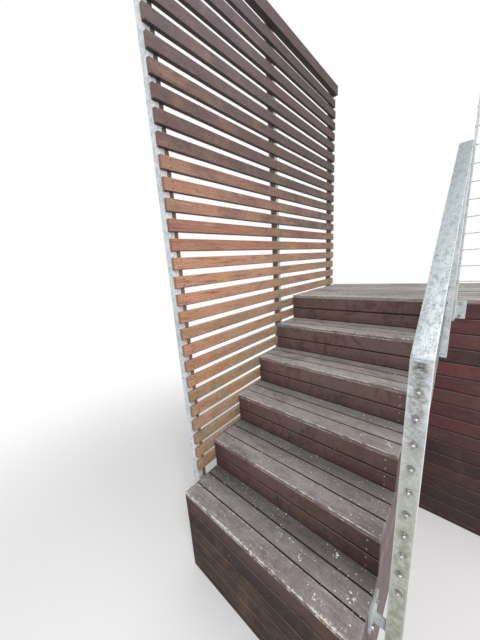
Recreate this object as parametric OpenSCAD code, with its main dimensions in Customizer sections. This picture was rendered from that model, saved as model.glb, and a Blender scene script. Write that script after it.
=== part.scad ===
// Wooden deck stairs: a flight of closed treads and risers that climbs from a lower deck to a
// landing at a house wall, with a slatted timber screen on its left side, a galvanised channel
// handrail with stretched wires on its right side and flat bars with wires along the landing.
// X runs to the right across the flight, Y runs into the building and Z runs up.
// The origin is on the face of the lowest riser, in the middle of the flight, at the level of
// the lower deck's surface.

/* [Flight] */
// Height of one step
step_rise = 188; // [160:1:210]
// Depth of one step, from riser face to riser face
going = 250; // [220:1:300]
// Number of risers, the one below the landing included
riser_count = 6; // [3:1:8]
// Width of the flight over the ends of its treads
flight_w = 900; // [700:10:1400]
// Depth of the ground below the lower deck's surface
ground_drop = 345; // [240:5:600]

/* [Boards] */
// Width of a decking board
board_w = 86; // [60:1:120]
// Thickness of a decking board
board_t = 19; // [14:1:30]
// Gap between the boards that are walked on
walk_gap = 4; // [2:0.5:8]
// Gap between the boards of risers, sides and skirt
joint_gap = 3; // [1:0.5:8]
// How far the tread ends stand out past the side boards
side_reveal = 2; // [1:0.5:6]
// How far the lowest riser board runs down behind the lower deck's surface
riser_toe = 20; // [10:1:60]

/* [Carcass] */
// Thickness of stringers, joists, ledger and studs
timber_t = 45; // [35:1:70]
// Timber left under the notches of a stringer, square to its slope
stringer_throat = 140; // [90:1:180]
// Side of a square timber post
post_w = 90; // [70:1:125]
// Height of joists, rim joist and ledger
joist_h = 190; // [140:5:240]
// Height of the bearer under the front of the landing
bearer_h = 190; // [140:5:240]
// Height of the bearer under the foot of the flight
foot_bearer_h = 90; // [70:5:140]
// Height of the foot of the stringers below the lower deck's surface
foot_drop = 19; // [10:1:40]

/* [Landing] */
// Depth of the landing, from the top riser's face to the house wall
landing_depth = 900; // [700:10:1500]
// Length of the landing to the right of the flight
landing_run = 1130; // [700:10:2400]
// Largest distance between the centres of joists
joist_spacing = 360; // [300:10:600]
// Radius of the bolt holes in the ledger
ledger_hole_r = 6.5; // [4:0.5:10]
// Height between the two rows of ledger bolts
ledger_row_spacing = 100; // [60:5:120]

/* [Screen] */
// Height of a batten's face
batten_h = 60; // [40:1:70]
// Thickness of a batten
batten_t = 20; // [12:1:30]
// Distance from one batten to the next
batten_pitch = 90; // [75:1:120]
// Number of battens
batten_count = 29; // [12:1:32]
// Height of the lowest batten above the first tread
batten_lift = 48; // [20:1:90]
// Gap between the tread ends and the battens
screen_gap = 3; // [1:0.5:8]
// Distance from the lowest riser's face to the front ends of the battens
batten_front = 115; // [60:5:200]
// Distance from the house wall to the rear ends of the battens
batten_wall_gap = 45; // [20:5:120]
// Height of the rail along the top of the screen
top_rail_h = 75; // [50:1:120]
// Thickness of the rail along the top of the screen
top_rail_t = 40; // [25:1:60]
// Depth of a steel screen post, from web to flange edges
screen_post_d = 30; // [20:1:50]
// Distance from the battens' front ends to the front screen post
screen_post_inset = 7; // [0:1:40]
// Distance from the lowest riser's face to the middle screen post
screen_mid_y = 1075; // [700:5:1300]

/* [Balustrade] */
// Width of a steel channel over its flanges
channel_w = 50; // [40:1:75]
// Depth of a steel channel, from web to flange edges
channel_d = 25; // [18:1:40]
// Thickness of the steel of a channel
channel_t = 4; // [2:0.5:6]
// Gap between the tread ends and the channels beside them
rail_offset = 50; // [30:1:90]
// Distance from the lowest riser's face to the stair post
stair_post_y = 150; // [60:5:220]
// Height of the handrail above the line of the nosings
rail_height = 839; // [760:1:1000]
// Distance from the lowest riser's face to the handrail's upper end
rail_end_y = 1150; // [1000:5:1200]
// Distance from the handrail's upper end back to the upper post
upper_post_back = 40; // [27:1:90]
// How far the stair post runs down below the lower deck's surface
stair_post_drop = 60; // [20:5:200]
// Height of the upper post's lower end below the tread beside it
upper_post_drop = 112; // [60:2:200]
// Height of the deck balustrade above the landing
deck_rail_height = 1007; // [900:1:1150]
// Width of the flat bars of the deck balustrade
deck_bar_w = 50; // [30:1:75]
// Thickness of the flat bars of the deck balustrade
deck_bar_t = 10; // [6:1:16]
// Gap between the face of the skirt and the deck balustrade
deck_post_gap = 35; // [20:1:60]
// Length of the deck posts below the landing's surface
deck_post_drop = 103; // [90:1:180]

/* [Wires] */
// Diameter of a wire
wire_d = 4; // [3:0.5:6]
// Height between two wires
wire_pitch = 80; // [60:1:100]
// Number of wires beside the flight
stair_wire_count = 10; // [4:1:10]
// Height of the knee of the stair post above its top nut
stair_top_wire = 90; // [40:1:140]
// Height of the lowest deck wire above the landing
deck_wire_lift = 107; // [60:1:140]
// Least height between the highest deck wire and the bar above it
deck_top_wire_gap = 70; // [30:1:80]
// Diameter of the washer under a domed nut
nut_washer_d = 16; // [10:0.5:20]
// Thickness of the washer under a domed nut
nut_washer_h = 1.6; // [1:0.2:3]
// Diameter of a domed nut
nut_d = 12; // [8:0.5:16]
// Height of a domed nut below its dome
nut_h = 6; // [4:0.5:10]

/* [Brackets] */
// Thickness of bracket plates and fins
plate_t = 10; // [6:1:14]
// Width of the bracket plates on the side of the flight
plate_w = 100; // [80:1:140]
// How far a plate on the flight's side reaches out in front of its post
plate_lead = 10; // [0:1:30]
// Height of the lower bracket's plate
lower_plate_h = 100; // [80:1:140]
// Height of the lower plate's upper edge above the lower deck's surface
lower_plate_rise = 150; // [100:1:160]
// Height of the upper bracket's plate
upper_plate_h = 84; // [80:1:100]
// Height of the upper bracket's plate above the lower end of its post
upper_plate_lift = 4; // [0:1:12]
// Height of the fins between plates and posts
fin_h = 50; // [30:1:60]
// Distance from the upper edge of a plate on the flight's side down to its fin
fin_drop = 15; // [5:1:20]
// Height of a deck bracket's plate
deck_plate_h = 100; // [70:1:150]
// Width of a deck bracket's plate
deck_plate_w = 52; // [40:1:90]
// Distance from the landing's surface down to a deck bracket's plate
deck_plate_sink = 3; // [0:1:30]
// Distance from a plate's edges to the bolts of the flight's brackets
bolt_edge = 25; // [16:1:30]
// Distance from a plate's front edge to the front bolt of the flight's brackets
front_bolt_edge = 12; // [10:1:14]
// Distance from a plate's edges to the bolts of the deck brackets
deck_bolt_edge = 17; // [12:1:30]
// Width of a bolt's head across its flats
bolt_flats = 13; // [10:1:15]
// Height of a bolt's head
bolt_head_h = 6; // [4:0.5:12]
// Diameter of the washer under a bolt's head
bolt_washer_d = 18; // [18:1:20]
// Thickness of the washer under a bolt's head
bolt_washer_h = 2; // [1:0.5:4]

/* [Hidden] */

// Fineness of round parts, and a small overrun for cuts that go right through
$fn = 32;
eps = 1;

// Colours
worn_wood = [0.36, 0.32, 0.30];
red_wood = [0.30, 0.17, 0.15];
frame_wood = [0.47, 0.38, 0.30];
batten_wood = [0.48, 0.28, 0.20];
galvanised = [0.66, 0.69, 0.67];
bright_steel = [0.78, 0.79, 0.80];

// Levels and planes that the pieces share
half_w = flight_w / 2;
slope = step_rise / going;
pitch_angle = atan(slope);
landing_z = riser_count * step_rise;
landing_y = (riser_count - 1) * going;
wall_y = landing_y + landing_depth;
landing_right = half_w + landing_run;
frame_top = landing_z - board_t;
frame_left = -half_w - screen_gap;
frame_front = landing_y + board_t;
side_face = half_w - side_reveal;
side_back = side_face - board_t;
row_pitch = board_w + joint_gap;
board_rows = ceil((frame_top + ground_drop) / row_pitch);
// The lower edge of a stringer lies this far below the line of its notches, measured upright
throat_drop = stringer_throat / cos(pitch_angle);
function stringer_under(y) = slope * (y - board_t) - board_t - throat_drop;

// A box between two corners
module block(low, high) {
  translate(low) cube(high - low);
}

// An outline drawn in Y and Z, made solid from one X to another
module across(x_low, x_high) {
  translate([x_low, 0, 0])
    rotate([90, 0, 90])
      linear_extrude(height = x_high - x_low) children();
}

// An outline drawn in X and Z, made solid from one Y to another
module into(y_low, y_high) {
  translate([0, y_high, 0])
    rotate([90, 0, 0])
      linear_extrude(height = y_high - y_low) children();
}

// Decking boards side by side, ripped evenly to fill a depth
module laid_boards(x_low, x_high, y_low, depth, count, top) {
  ripped = (depth - (count - 1) * walk_gap) / count;
  for (i = [0 : count - 1]) {
    y = y_low + i * (ripped + walk_gap);
    block([x_low, y, top - board_t], [x_high, y + ripped, top]);
  }
}

// One tread, whose last board runs under the riser behind it
module tread(k) {
  tuck = board_t - joint_gap;
  depth = going + tuck;
  count = round((depth + walk_gap) / (board_w + walk_gap));
  color(worn_wood)
    laid_boards(-half_w, half_w, (k - 1) * going, depth, count, k * step_rise);
}

// One riser of two boards, standing on the tread below and flush with the tread above
module riser(k) {
  y = (k - 1) * going;
  foot = (k - 1) * step_rise - (k == 1 ? riser_toe : 0);
  head = k * step_rise - board_t;
  joint = head - board_w;
  color(red_wood) {
    block([-half_w, y, foot], [half_w, y + board_t, joint - joint_gap]);
    block([-half_w, y, joint], [half_w, y + board_t, head]);
  }
}

// The stepped line behind the risers and under the treads, from the front up to the landing
function step_line() = [
  for (k = [1 : riser_count - 1])
    for (p = [0, 1])
      [(k - 1 + p) * going + board_t, k * step_rise - board_t]
];

// A notched stringer with a level foot
module stringer(x_low) {
  foot_z = -foot_drop;
  foot_back = board_t + (throat_drop + board_t - foot_drop) / slope;
  outline = concat(
    [[board_t, foot_z]],
    step_line(),
    [[frame_front, stringer_under(frame_front)], [foot_back, foot_z]]
  );
  color(frame_wood) across(x_low, x_low + timber_t) polygon(outline);
}

// Level boards that close the right side of the flight from the steps down to the ground
module side_boards() {
  outline = concat([[board_t, -ground_drop]], step_line(), [[frame_front, -ground_drop]]);
  color(red_wood)
    across(side_back, side_face)
      intersection() {
        polygon(outline);
        for (row = [0 : board_rows - 1])
          translate([0, frame_top - row * row_pitch - board_w])
            square([frame_front + eps, board_w]);
      }
}

// Upright studs that carry the side boards below the right stringer
module side_studs() {
  middle = (board_t + post_w + frame_front) / 2;
  color(frame_wood)
    for (y = [middle - post_w / 2, frame_front - post_w])
      across(side_back - timber_t, side_back)
        polygon([
          [y, -ground_drop], [y + post_w, -ground_drop],
          [y + post_w, stringer_under(y + post_w)], [y, stringer_under(y)]
        ]);
}

// The bearer under the feet of the three stringers
module foot_bearer() {
  color(frame_wood)
    block([frame_left, board_t, -foot_drop - foot_bearer_h],
          [side_back, board_t + post_w, -foot_drop]);
}

// Short posts from the foot bearer down to the ground
module foot_posts() {
  color(frame_wood)
    for (x = [frame_left, -post_w / 2, side_back - post_w])
      block([x, board_t, -ground_drop], [x + post_w, board_t + post_w, -foot_drop - foot_bearer_h]);
}

// Boards in the plane of the lowest riser, from its lower edge down to the ground
module base_boards() {
  top = -riser_toe - joint_gap;
  rows = ceil((top + ground_drop) / row_pitch);
  color(red_wood)
    for (row = [0 : rows - 1]) {
      head = top - row * row_pitch;
      foot = max(head - board_w, -ground_drop);
      block([-half_w, 0, foot], [half_w, board_t, head]);
    }
}

// The walked-on boards of the landing, the first one a nosing over the top riser and the skirt
module landing_boards() {
  count = round(landing_depth / (board_w + walk_gap));
  color(worn_wood)
    laid_boards(-half_w, landing_right, landing_y, landing_depth - walk_gap, count, landing_z);
}

// Centres of the joists across the landing
joist_first = frame_left + timber_t / 2;
joist_last = landing_right - timber_t / 2;
joist_bays = ceil((joist_last - joist_first) / joist_spacing);
joist_step = (joist_last - joist_first) / joist_bays;

// Joists between the rim joist and the ledger
module landing_joists() {
  color(frame_wood)
    for (i = [0 : joist_bays]) {
      x = joist_first + i * joist_step;
      block([x - timber_t / 2, frame_front + timber_t, frame_top - joist_h],
            [x + timber_t / 2, wall_y - timber_t, frame_top]);
    }
}

// The joist behind the top riser and the skirt's upper boards
module rim_joist() {
  color(frame_wood)
    block([frame_left, frame_front, frame_top - joist_h],
          [landing_right, frame_front + timber_t, frame_top]);
}

// The board bolted to the house wall, with two rows of bolt holes between the joists
module ledger() {
  mid_z = frame_top - joist_h / 2;
  color(frame_wood)
    difference() {
      block([frame_left, wall_y - timber_t, frame_top - joist_h], [landing_right, wall_y, frame_top]);
      for (i = [0 : joist_bays - 1])
        for (side = [-1, 1])
          translate([joist_first + (i + 0.5) * joist_step, wall_y - timber_t - eps,
                     mid_z + side * ledger_row_spacing / 2])
            rotate([-90, 0, 0])
              cylinder(h = timber_t + 2 * eps, r = ledger_hole_r);
    }
}

bearer_top = frame_top - joist_h;
bearer_foot = bearer_top - bearer_h;

// The bearer under the front of the landing, which also takes the heads of the stringers
module landing_bearer() {
  color(frame_wood)
    block([frame_left, frame_front, bearer_foot], [landing_right, frame_front + post_w, bearer_top]);
}

// Left edges of the landing posts: both sides of the flight, the landing's end and halfway there
function landing_post_x() = [
  frame_left,
  side_face + joint_gap,
  (side_face + joint_gap + landing_right - post_w) / 2,
  landing_right - post_w
];

// Posts from the ground to the landing's bearer
module landing_posts() {
  color(frame_wood)
    for (x = landing_post_x())
      block([x, frame_front, -ground_drop], [x + post_w, frame_front + post_w, bearer_foot]);
}

// Level boards that close the landing's front to the right of the flight
module skirt_boards() {
  x_low = side_face + joint_gap;
  color(red_wood)
    for (row = [0 : board_rows - 1]) {
      head = frame_top - row * row_pitch;
      foot = max(head - board_w, -ground_drop);
      block([x_low, landing_y, foot], [landing_right, frame_front, head]);
    }
}

// Studs behind the skirt boards, halfway between the landing posts
module skirt_studs() {
  posts = landing_post_x();
  color(frame_wood)
    for (i = [1, 2]) {
      x = (posts[i] + posts[i + 1]) / 2;
      block([x, frame_front, -ground_drop], [x + post_w, frame_front + timber_t, bearer_foot]);
    }
}

// Planes and heights of the screen
batten_face = frame_left;
batten_back = batten_face - batten_t;
batten_rear = wall_y - batten_wall_gap;
batten_foot = step_rise + batten_lift;
top_rail_foot = batten_foot + batten_count * batten_pitch;
screen_head = top_rail_foot + top_rail_h;

// A steel screen post with its web at web_y and its flanges running dir along Y
module screen_post(web_y, dir) {
  y_far = web_y + dir * screen_post_d;
  y_in = web_y + dir * channel_t;
  color(galvanised)
    difference() {
      block([batten_back - channel_w, min(web_y, y_far), -ground_drop],
            [batten_back, max(web_y, y_far), screen_head]);
      block([batten_back - channel_w + channel_t, min(y_in, y_far + dir * eps), -ground_drop - eps],
            [batten_back - channel_t, max(y_in, y_far + dir * eps), screen_head + eps]);
    }
}

front_web = batten_front + screen_post_inset;
mid_web = screen_mid_y + screen_post_d;
rear_web = batten_rear + screen_post_inset + screen_post_d - channel_d;

// The steel post at the screen's front, its web to the front
module screen_post_front() {
  screen_post(front_web, 1);
}

// The steel post halfway along the screen, its web to the wall
module screen_post_mid() {
  screen_post(mid_web, -1);
}

// The steel post at the house wall, its web to the wall
module screen_post_rear() {
  screen_post(rear_web, -1);
}

// Timber studs against the open side of each steel post, for the battens' screws
module screen_studs() {
  color(batten_wood)
    for (y = [front_web + screen_post_d, mid_web - screen_post_d - timber_t,
              rear_web - screen_post_d - timber_t])
      block([batten_back - channel_w, y, -ground_drop], [batten_back, y + timber_t, screen_head]);
}

// Level battens with open gaps between them
module screen_battens() {
  color(batten_wood)
    for (i = [0 : batten_count - 1]) {
      z = batten_foot + i * batten_pitch;
      block([batten_back, batten_front, z], [batten_face, batten_rear, z + batten_h]);
    }
}

// The thicker rail along the top of the screen
module screen_top_rail() {
  color(batten_wood)
    block([batten_back, batten_front, top_rail_foot],
          [batten_back + top_rail_t, batten_rear, screen_head]);
}

// Planes and heights of the balustrade beside the flight
rail_left = half_w + rail_offset;
rail_right = rail_left + channel_w;
knee_z = step_rise + slope * stair_post_y + rail_height;
// Height of the handrail's upper face over a place along the flight
function rail_top(y) = knee_z + slope * (y - stair_post_y);
// Upright depth of the sloping rail at a distance below its upper face, measured square to it
function upright(d) = d / cos(pitch_angle);
// The joint of post and rail at a distance from their outer faces, on the line of the mitre
function knee(d) = [stair_post_y + d, rail_top(stair_post_y + d) - upright(d)];

// A channel in Y and Z: the web follows the first outline's outer edge, flanges lie each side
module rail_channel(x_low) {
  difference() {
    across(x_low, x_low + channel_w) children(0);
    across(x_low + channel_t, x_low + channel_w - channel_t) children(1);
  }
}

// The channel post at the foot of the flight, mitred into the handrail at its knee
module stair_post() {
  foot = -stair_post_drop;
  open_edge = channel_d + eps;
  color(galvanised)
    rail_channel(rail_left) {
      polygon([[stair_post_y, foot], knee(0), knee(channel_d), [stair_post_y + channel_d, foot]]);
      polygon([
        [stair_post_y + channel_t, foot - eps], knee(channel_t),
        knee(open_edge), [stair_post_y + open_edge, foot - eps]
      ]);
    }
}

// The sloping channel handrail, web upwards, with an upright cut at its upper end
module handrail() {
  open_edge = channel_d + eps;
  over = rail_end_y + eps;
  color(galvanised)
    rail_channel(rail_left) {
      polygon([
        knee(0), [rail_end_y, rail_top(rail_end_y)],
        [rail_end_y, rail_top(rail_end_y) - upright(channel_d)], knee(channel_d)
      ]);
      polygon([
        knee(channel_t), [over, rail_top(over) - upright(channel_t)],
        [over, rail_top(over) - upright(open_edge)], knee(open_edge)
      ]);
    }
}

upper_post_y = rail_end_y - upper_post_back;
upper_post_foot = (riser_count - 1) * step_rise - upper_post_drop;

// The channel post under the handrail's upper end
module upper_post() {
  y_far = upper_post_y + channel_d;
  y_in = upper_post_y + channel_t;
  open_far = y_far + eps;
  color(galvanised)
    rail_channel(rail_left) {
      polygon([
        [upper_post_y, upper_post_foot], [y_far, upper_post_foot],
        [y_far, rail_top(y_far) - upright(channel_d)],
        [upper_post_y, rail_top(upper_post_y) - upright(channel_d)]
      ]);
      polygon([
        [y_in, upper_post_foot - eps], [open_far, upper_post_foot - eps],
        [open_far, rail_top(open_far)], [y_in, rail_top(y_in)]
      ]);
    }
}

wire_x = rail_left + channel_w / 2;
stair_wire_top = knee_z - stair_top_wire;

// Stretched wires beside the flight, parallel to the handrail, between the webs of two posts
module stair_wires() {
  y_low = stair_post_y + channel_t;
  y_high = upper_post_y;
  color(bright_steel)
    for (i = [0 : stair_wire_count - 1]) {
      z = stair_wire_top - i * wire_pitch + slope * channel_t;
      intersection() {
        translate([wire_x, y_low, z])
          rotate([pitch_angle - 90, 0, 0])
            translate([0, 0, -wire_pitch])
              cylinder(h = upright(y_high - y_low) + 2 * wire_pitch, d = wire_d);
        block([wire_x - wire_d, y_low, z - wire_pitch],
              [wire_x + wire_d, y_high, z + slope * going * riser_count]);
      }
    }
}

// Planes and heights of the balustrade beside the landing
deck_rail_back = landing_y - deck_post_gap;
deck_rail_front = deck_rail_back - deck_bar_w;
deck_rail_left = rail_right;
deck_rail_top = landing_z + deck_rail_height;
deck_rail_foot = deck_rail_top - deck_bar_t;
deck_post_foot = landing_z - deck_post_drop;

// An upright flat bar under the deck rail, from its left face on
module deck_post(x_low) {
  color(galvanised)
    block([x_low, deck_rail_front, deck_post_foot],
          [x_low + deck_bar_t, deck_rail_back, deck_rail_foot]);
}

// The flat bar at which the landing's balustrade starts, beside the handrail's upper end
module deck_end_post() {
  deck_post(deck_rail_left);
}

// The flat bar at the landing's right end
module deck_far_post() {
  deck_post(landing_right - deck_bar_t);
}

// The level flat bar that lies on both deck posts
module deck_top_rail() {
  color(galvanised)
    block([deck_rail_left, deck_rail_front, deck_rail_foot],
          [landing_right, deck_rail_back, deck_rail_top]);
}

deck_wire_y = deck_rail_front + deck_bar_w / 2;
deck_wire_low = landing_z + deck_wire_lift;
deck_wire_room = deck_rail_foot - deck_wire_low - deck_top_wire_gap;
deck_wire_count = floor(deck_wire_room / wire_pitch) + 1;

// Stretched level wires beside the landing, between the two deck posts
module deck_wires() {
  x_low = deck_rail_left + deck_bar_t;
  x_high = landing_right - deck_bar_t;
  color(bright_steel)
    for (i = [0 : deck_wire_count - 1])
      translate([x_low, deck_wire_y, deck_wire_low + i * wire_pitch])
        rotate([0, 90, 0])
          cylinder(h = x_high - x_low, d = wire_d);
}

// A domed nut on its washer, standing on the XY plane
module domed_nut() {
  dome_foot = nut_washer_h + nut_h;
  rotate_extrude()
    union() {
      square([nut_washer_d / 2, nut_washer_h]);
      square([nut_d / 2, dome_foot]);
      intersection() {
        translate([0, dome_foot]) circle(d = nut_d);
        square([nut_d / 2, dome_foot + nut_d]);
      }
    }
}

// Domed nuts at both ends of every wire, on the outer faces of the webs and bars it passes
module wire_nuts() {
  color(bright_steel) {
    for (i = [0 : stair_wire_count - 1]) {
      z = stair_wire_top - i * wire_pitch;
      translate([wire_x, stair_post_y, z]) rotate([90, 0, 0]) domed_nut();
      translate([wire_x, upper_post_y + channel_t, z + slope * (upper_post_y + channel_t - stair_post_y)])
        rotate([-90, 0, 0])
          domed_nut();
    }
    for (i = [0 : deck_wire_count - 1]) {
      z = deck_wire_low + i * wire_pitch;
      translate([deck_rail_left, deck_wire_y, z]) rotate([0, -90, 0]) domed_nut();
      translate([landing_right, deck_wire_y, z]) rotate([0, 90, 0]) domed_nut();
    }
  }
}

// A bracket on the side of the flight: a plate on the boards and a fin welded to a post's flange
module side_bracket(post_y, foot, height) {
  front = post_y - plate_lead;
  fin_back = post_y + channel_d;
  fin_top = foot + height - fin_drop;
  block([side_face, front, foot], [side_face + plate_t, front + plate_w, foot + height]);
  block([side_face + plate_t, fin_back - plate_t, fin_top - fin_h], [rail_left, fin_back, fin_top]);
}

lower_plate_foot = lower_plate_rise - lower_plate_h;
upper_plate_foot = upper_post_foot + upper_plate_lift;

// The brackets that hold the stair post and the upper post off the side of the flight
module stair_brackets() {
  color(galvanised) {
    side_bracket(stair_post_y, lower_plate_foot, lower_plate_h);
    side_bracket(upper_post_y, upper_plate_foot, upper_plate_h);
  }
}

deck_plate_top = landing_z - deck_plate_sink;
deck_plate_foot = deck_plate_top - deck_plate_h;

// A bracket on the landing's edge: a plate on the boards and a fin in line with a deck post,
// whose outer face is at x_post and whose plate runs dir along X
module deck_bracket(x_post, dir) {
  fin_far = x_post + dir * deck_bar_t;
  plate_far = x_post + dir * deck_plate_w;
  fin_foot = deck_plate_foot + (deck_plate_h - fin_h) / 2;
  block([min(x_post, plate_far), landing_y - plate_t, deck_plate_foot],
        [max(x_post, plate_far), landing_y, deck_plate_top]);
  block([min(x_post, fin_far), deck_rail_back, fin_foot],
        [max(x_post, fin_far), landing_y - plate_t, fin_foot + fin_h]);
}

// The brackets that hold the deck posts off the landing's edge
module deck_brackets() {
  color(galvanised) {
    deck_bracket(deck_rail_left, 1);
    deck_bracket(landing_right, -1);
  }
}

// A bolt head on its washer, standing on the XY plane
module bolt_head() {
  cylinder(h = bolt_washer_h, d = bolt_washer_d);
  translate([0, 0, bolt_washer_h])
    cylinder(h = bolt_head_h, d = bolt_flats / cos(30), $fn = 6);
}

// The two bolts of a bracket on the side of the flight: one low in front, one high behind the fin
module side_bolts(post_y, foot, height) {
  front = post_y - plate_lead;
  low_front = [side_face + plate_t, front + front_bolt_edge, foot + bolt_edge];
  high_back = [side_face + plate_t, front + plate_w - bolt_edge, foot + height - bolt_edge];
  for (place = [low_front, high_back])
    translate(place) rotate([0, 90, 0]) bolt_head();
}

// Bolts through the bracket plates into the timber
module bolts() {
  deck_bolt_in = (deck_bar_t + deck_plate_w) / 2;
  color(bright_steel) {
    side_bolts(stair_post_y, lower_plate_foot, lower_plate_h);
    side_bolts(upper_post_y, upper_plate_foot, upper_plate_h);
    for (x = [deck_rail_left + deck_bolt_in, landing_right - deck_bolt_in])
      for (z = [deck_plate_foot + deck_bolt_edge, deck_plate_top - deck_bolt_edge])
        translate([x, landing_y - plate_t, z]) rotate([90, 0, 0]) bolt_head();
  }
}

tread(1);  // tread_1
tread(2);  // tread_2
tread(3);  // tread_3
tread(4);  // tread_4
tread(5);  // tread_5
riser(1);  // riser_1
riser(2);  // riser_2
riser(3);  // riser_3
riser(4);  // riser_4
riser(5);  // riser_5
riser(6);  // riser_6
stringer(frame_left);  // stringer_left
stringer(-timber_t / 2);  // stringer_mid
stringer(side_back - timber_t);  // stringer_right
side_boards();
side_studs();
foot_bearer();
foot_posts();
base_boards();
landing_boards();
landing_joists();
rim_joist();
ledger();
landing_bearer();
landing_posts();
skirt_boards();
skirt_studs();
screen_post_front();
screen_post_mid();
screen_post_rear();
screen_studs();
screen_battens();
screen_top_rail();
stair_post();
handrail();
upper_post();
stair_wires();
deck_end_post();
deck_top_rail();
deck_far_post();
deck_wires();
wire_nuts();
stair_brackets();
deck_brackets();
bolts();
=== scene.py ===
import math

import bmesh
import bpy
from bpy.props import FloatProperty, FloatVectorProperty, IntProperty, PointerProperty
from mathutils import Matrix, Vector


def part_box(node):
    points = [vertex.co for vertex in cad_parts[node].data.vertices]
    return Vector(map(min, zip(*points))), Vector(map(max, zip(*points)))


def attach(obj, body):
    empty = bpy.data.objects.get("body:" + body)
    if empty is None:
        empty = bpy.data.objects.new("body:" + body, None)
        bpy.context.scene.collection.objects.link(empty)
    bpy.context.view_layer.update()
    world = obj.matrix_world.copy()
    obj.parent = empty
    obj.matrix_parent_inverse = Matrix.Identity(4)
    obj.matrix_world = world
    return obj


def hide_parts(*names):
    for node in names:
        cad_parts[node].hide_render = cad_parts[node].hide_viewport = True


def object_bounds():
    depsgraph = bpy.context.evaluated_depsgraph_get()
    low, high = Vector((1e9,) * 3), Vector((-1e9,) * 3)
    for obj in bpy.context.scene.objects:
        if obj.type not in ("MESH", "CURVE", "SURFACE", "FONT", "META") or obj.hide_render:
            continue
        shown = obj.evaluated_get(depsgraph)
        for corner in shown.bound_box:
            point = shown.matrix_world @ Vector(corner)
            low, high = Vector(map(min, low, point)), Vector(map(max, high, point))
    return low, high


bl_info = {
    "name": "Wooden deck stairs",
    "version": (1, 0, 0),
    "blender": (4, 5, 0),
    "location": "3D View > Sidebar > Deck stairs",
    "description": "Dresses a closed timber flight, its slatted screen and its wire balustrade",
    "category": "Object",
}

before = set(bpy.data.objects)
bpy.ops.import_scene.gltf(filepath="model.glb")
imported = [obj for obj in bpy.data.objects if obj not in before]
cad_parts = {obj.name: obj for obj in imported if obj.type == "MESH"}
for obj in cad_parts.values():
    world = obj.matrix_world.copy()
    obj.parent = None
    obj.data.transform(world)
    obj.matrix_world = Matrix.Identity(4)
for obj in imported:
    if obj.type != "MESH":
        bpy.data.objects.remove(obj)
cad_box = [list(corner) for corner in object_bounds()]

# Sizes and levels that the pieces share, read from the frame, in metres
TREADS = sorted(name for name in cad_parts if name.startswith("tread_"))
RISERS = sorted(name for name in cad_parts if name.startswith("riser_"))
GROUND = cad_box[0][2]
STEP_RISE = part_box("tread_1")[1].z
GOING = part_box("tread_2")[0].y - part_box("tread_1")[0].y
SLOPE = STEP_RISE / GOING
LANDING_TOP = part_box("landing_boards")[1].z
# Thickness of the brackets' plates and of the channels, as the source has them
PLATE_THICK = 0.010
CHANNEL_THICK = 0.004
# Screws stand at these shares of a board's width, this far from its ends and this much out of line
SCREW_SHARES = (0.24, 0.76)
END_MARGIN = 0.01
SCREW_DRIFT = 0.0035
# The first line of screws lies this far inside the treads' left ends
FIRST_LINE = 0.022
# Faces of smooth pieces that meet at more than this stay sharp
SMOOTH_LIMIT = math.radians(35)
# Points along each axis of a board, enough for it to wander along its length
BOARD_LOOPS = (12, 2, 2)
LANDING_LOOPS = (16, 2, 2)
BATTEN_LOOPS = (2, 16, 2)
# Rings of points along a stranded wire
WIRE_RINGS = 110
# Faces that take screws: the axis along the board, the axis and side of the face, the axis across
TOP_FACE = (0, 2, True, 1)
FRONT_FACE = (0, 1, False, 2)
BATTEN_FACE = (1, 0, True, 2)
# Dried splashes: tread, share of its length and depth, reach and number of drops
SPLASHES = (
    ("tread_1", 0.94, 0.45, 0.019, 15), ("tread_1", 0.825, 0.14, 0.013, 5),
    ("tread_1", 0.715, 0.45, 0.014, 6), ("tread_1", 0.83, 0.84, 0.014, 7),
    ("tread_2", 0.97, 0.57, 0.019, 13), ("tread_2", 0.87, 0.12, 0.006, 2),
    ("tread_3", 0.83, 0.24, 0.013, 6), ("tread_3", 0.95, 0.22, 0.017, 8),
    ("tread_4", 0.7, 0.58, 0.012, 4),
)


def paint(red, green, blue):
    """A colour as a paint chart gives it, from 0 to 255, for a node's socket."""
    def level(value):
        share = value / 255
        return share / 12.92 if share <= 0.04045 else ((share + 0.055) / 1.055) ** 2.4
    return level(red), level(green), level(blue)


def length_value(name, description, default, least, most):
    """A length that the user can change, in metres."""
    return FloatProperty(
        name=name, description=description, default=default, min=least, max=most, unit="LENGTH")


def chart_colour(name, description, *levels):
    """A colour that the user can change, given as a paint chart gives it."""
    return FloatVectorProperty(
        name=name, description=description, subtype="COLOR", size=3, min=0, max=1,
        default=paint(*levels))


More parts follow.
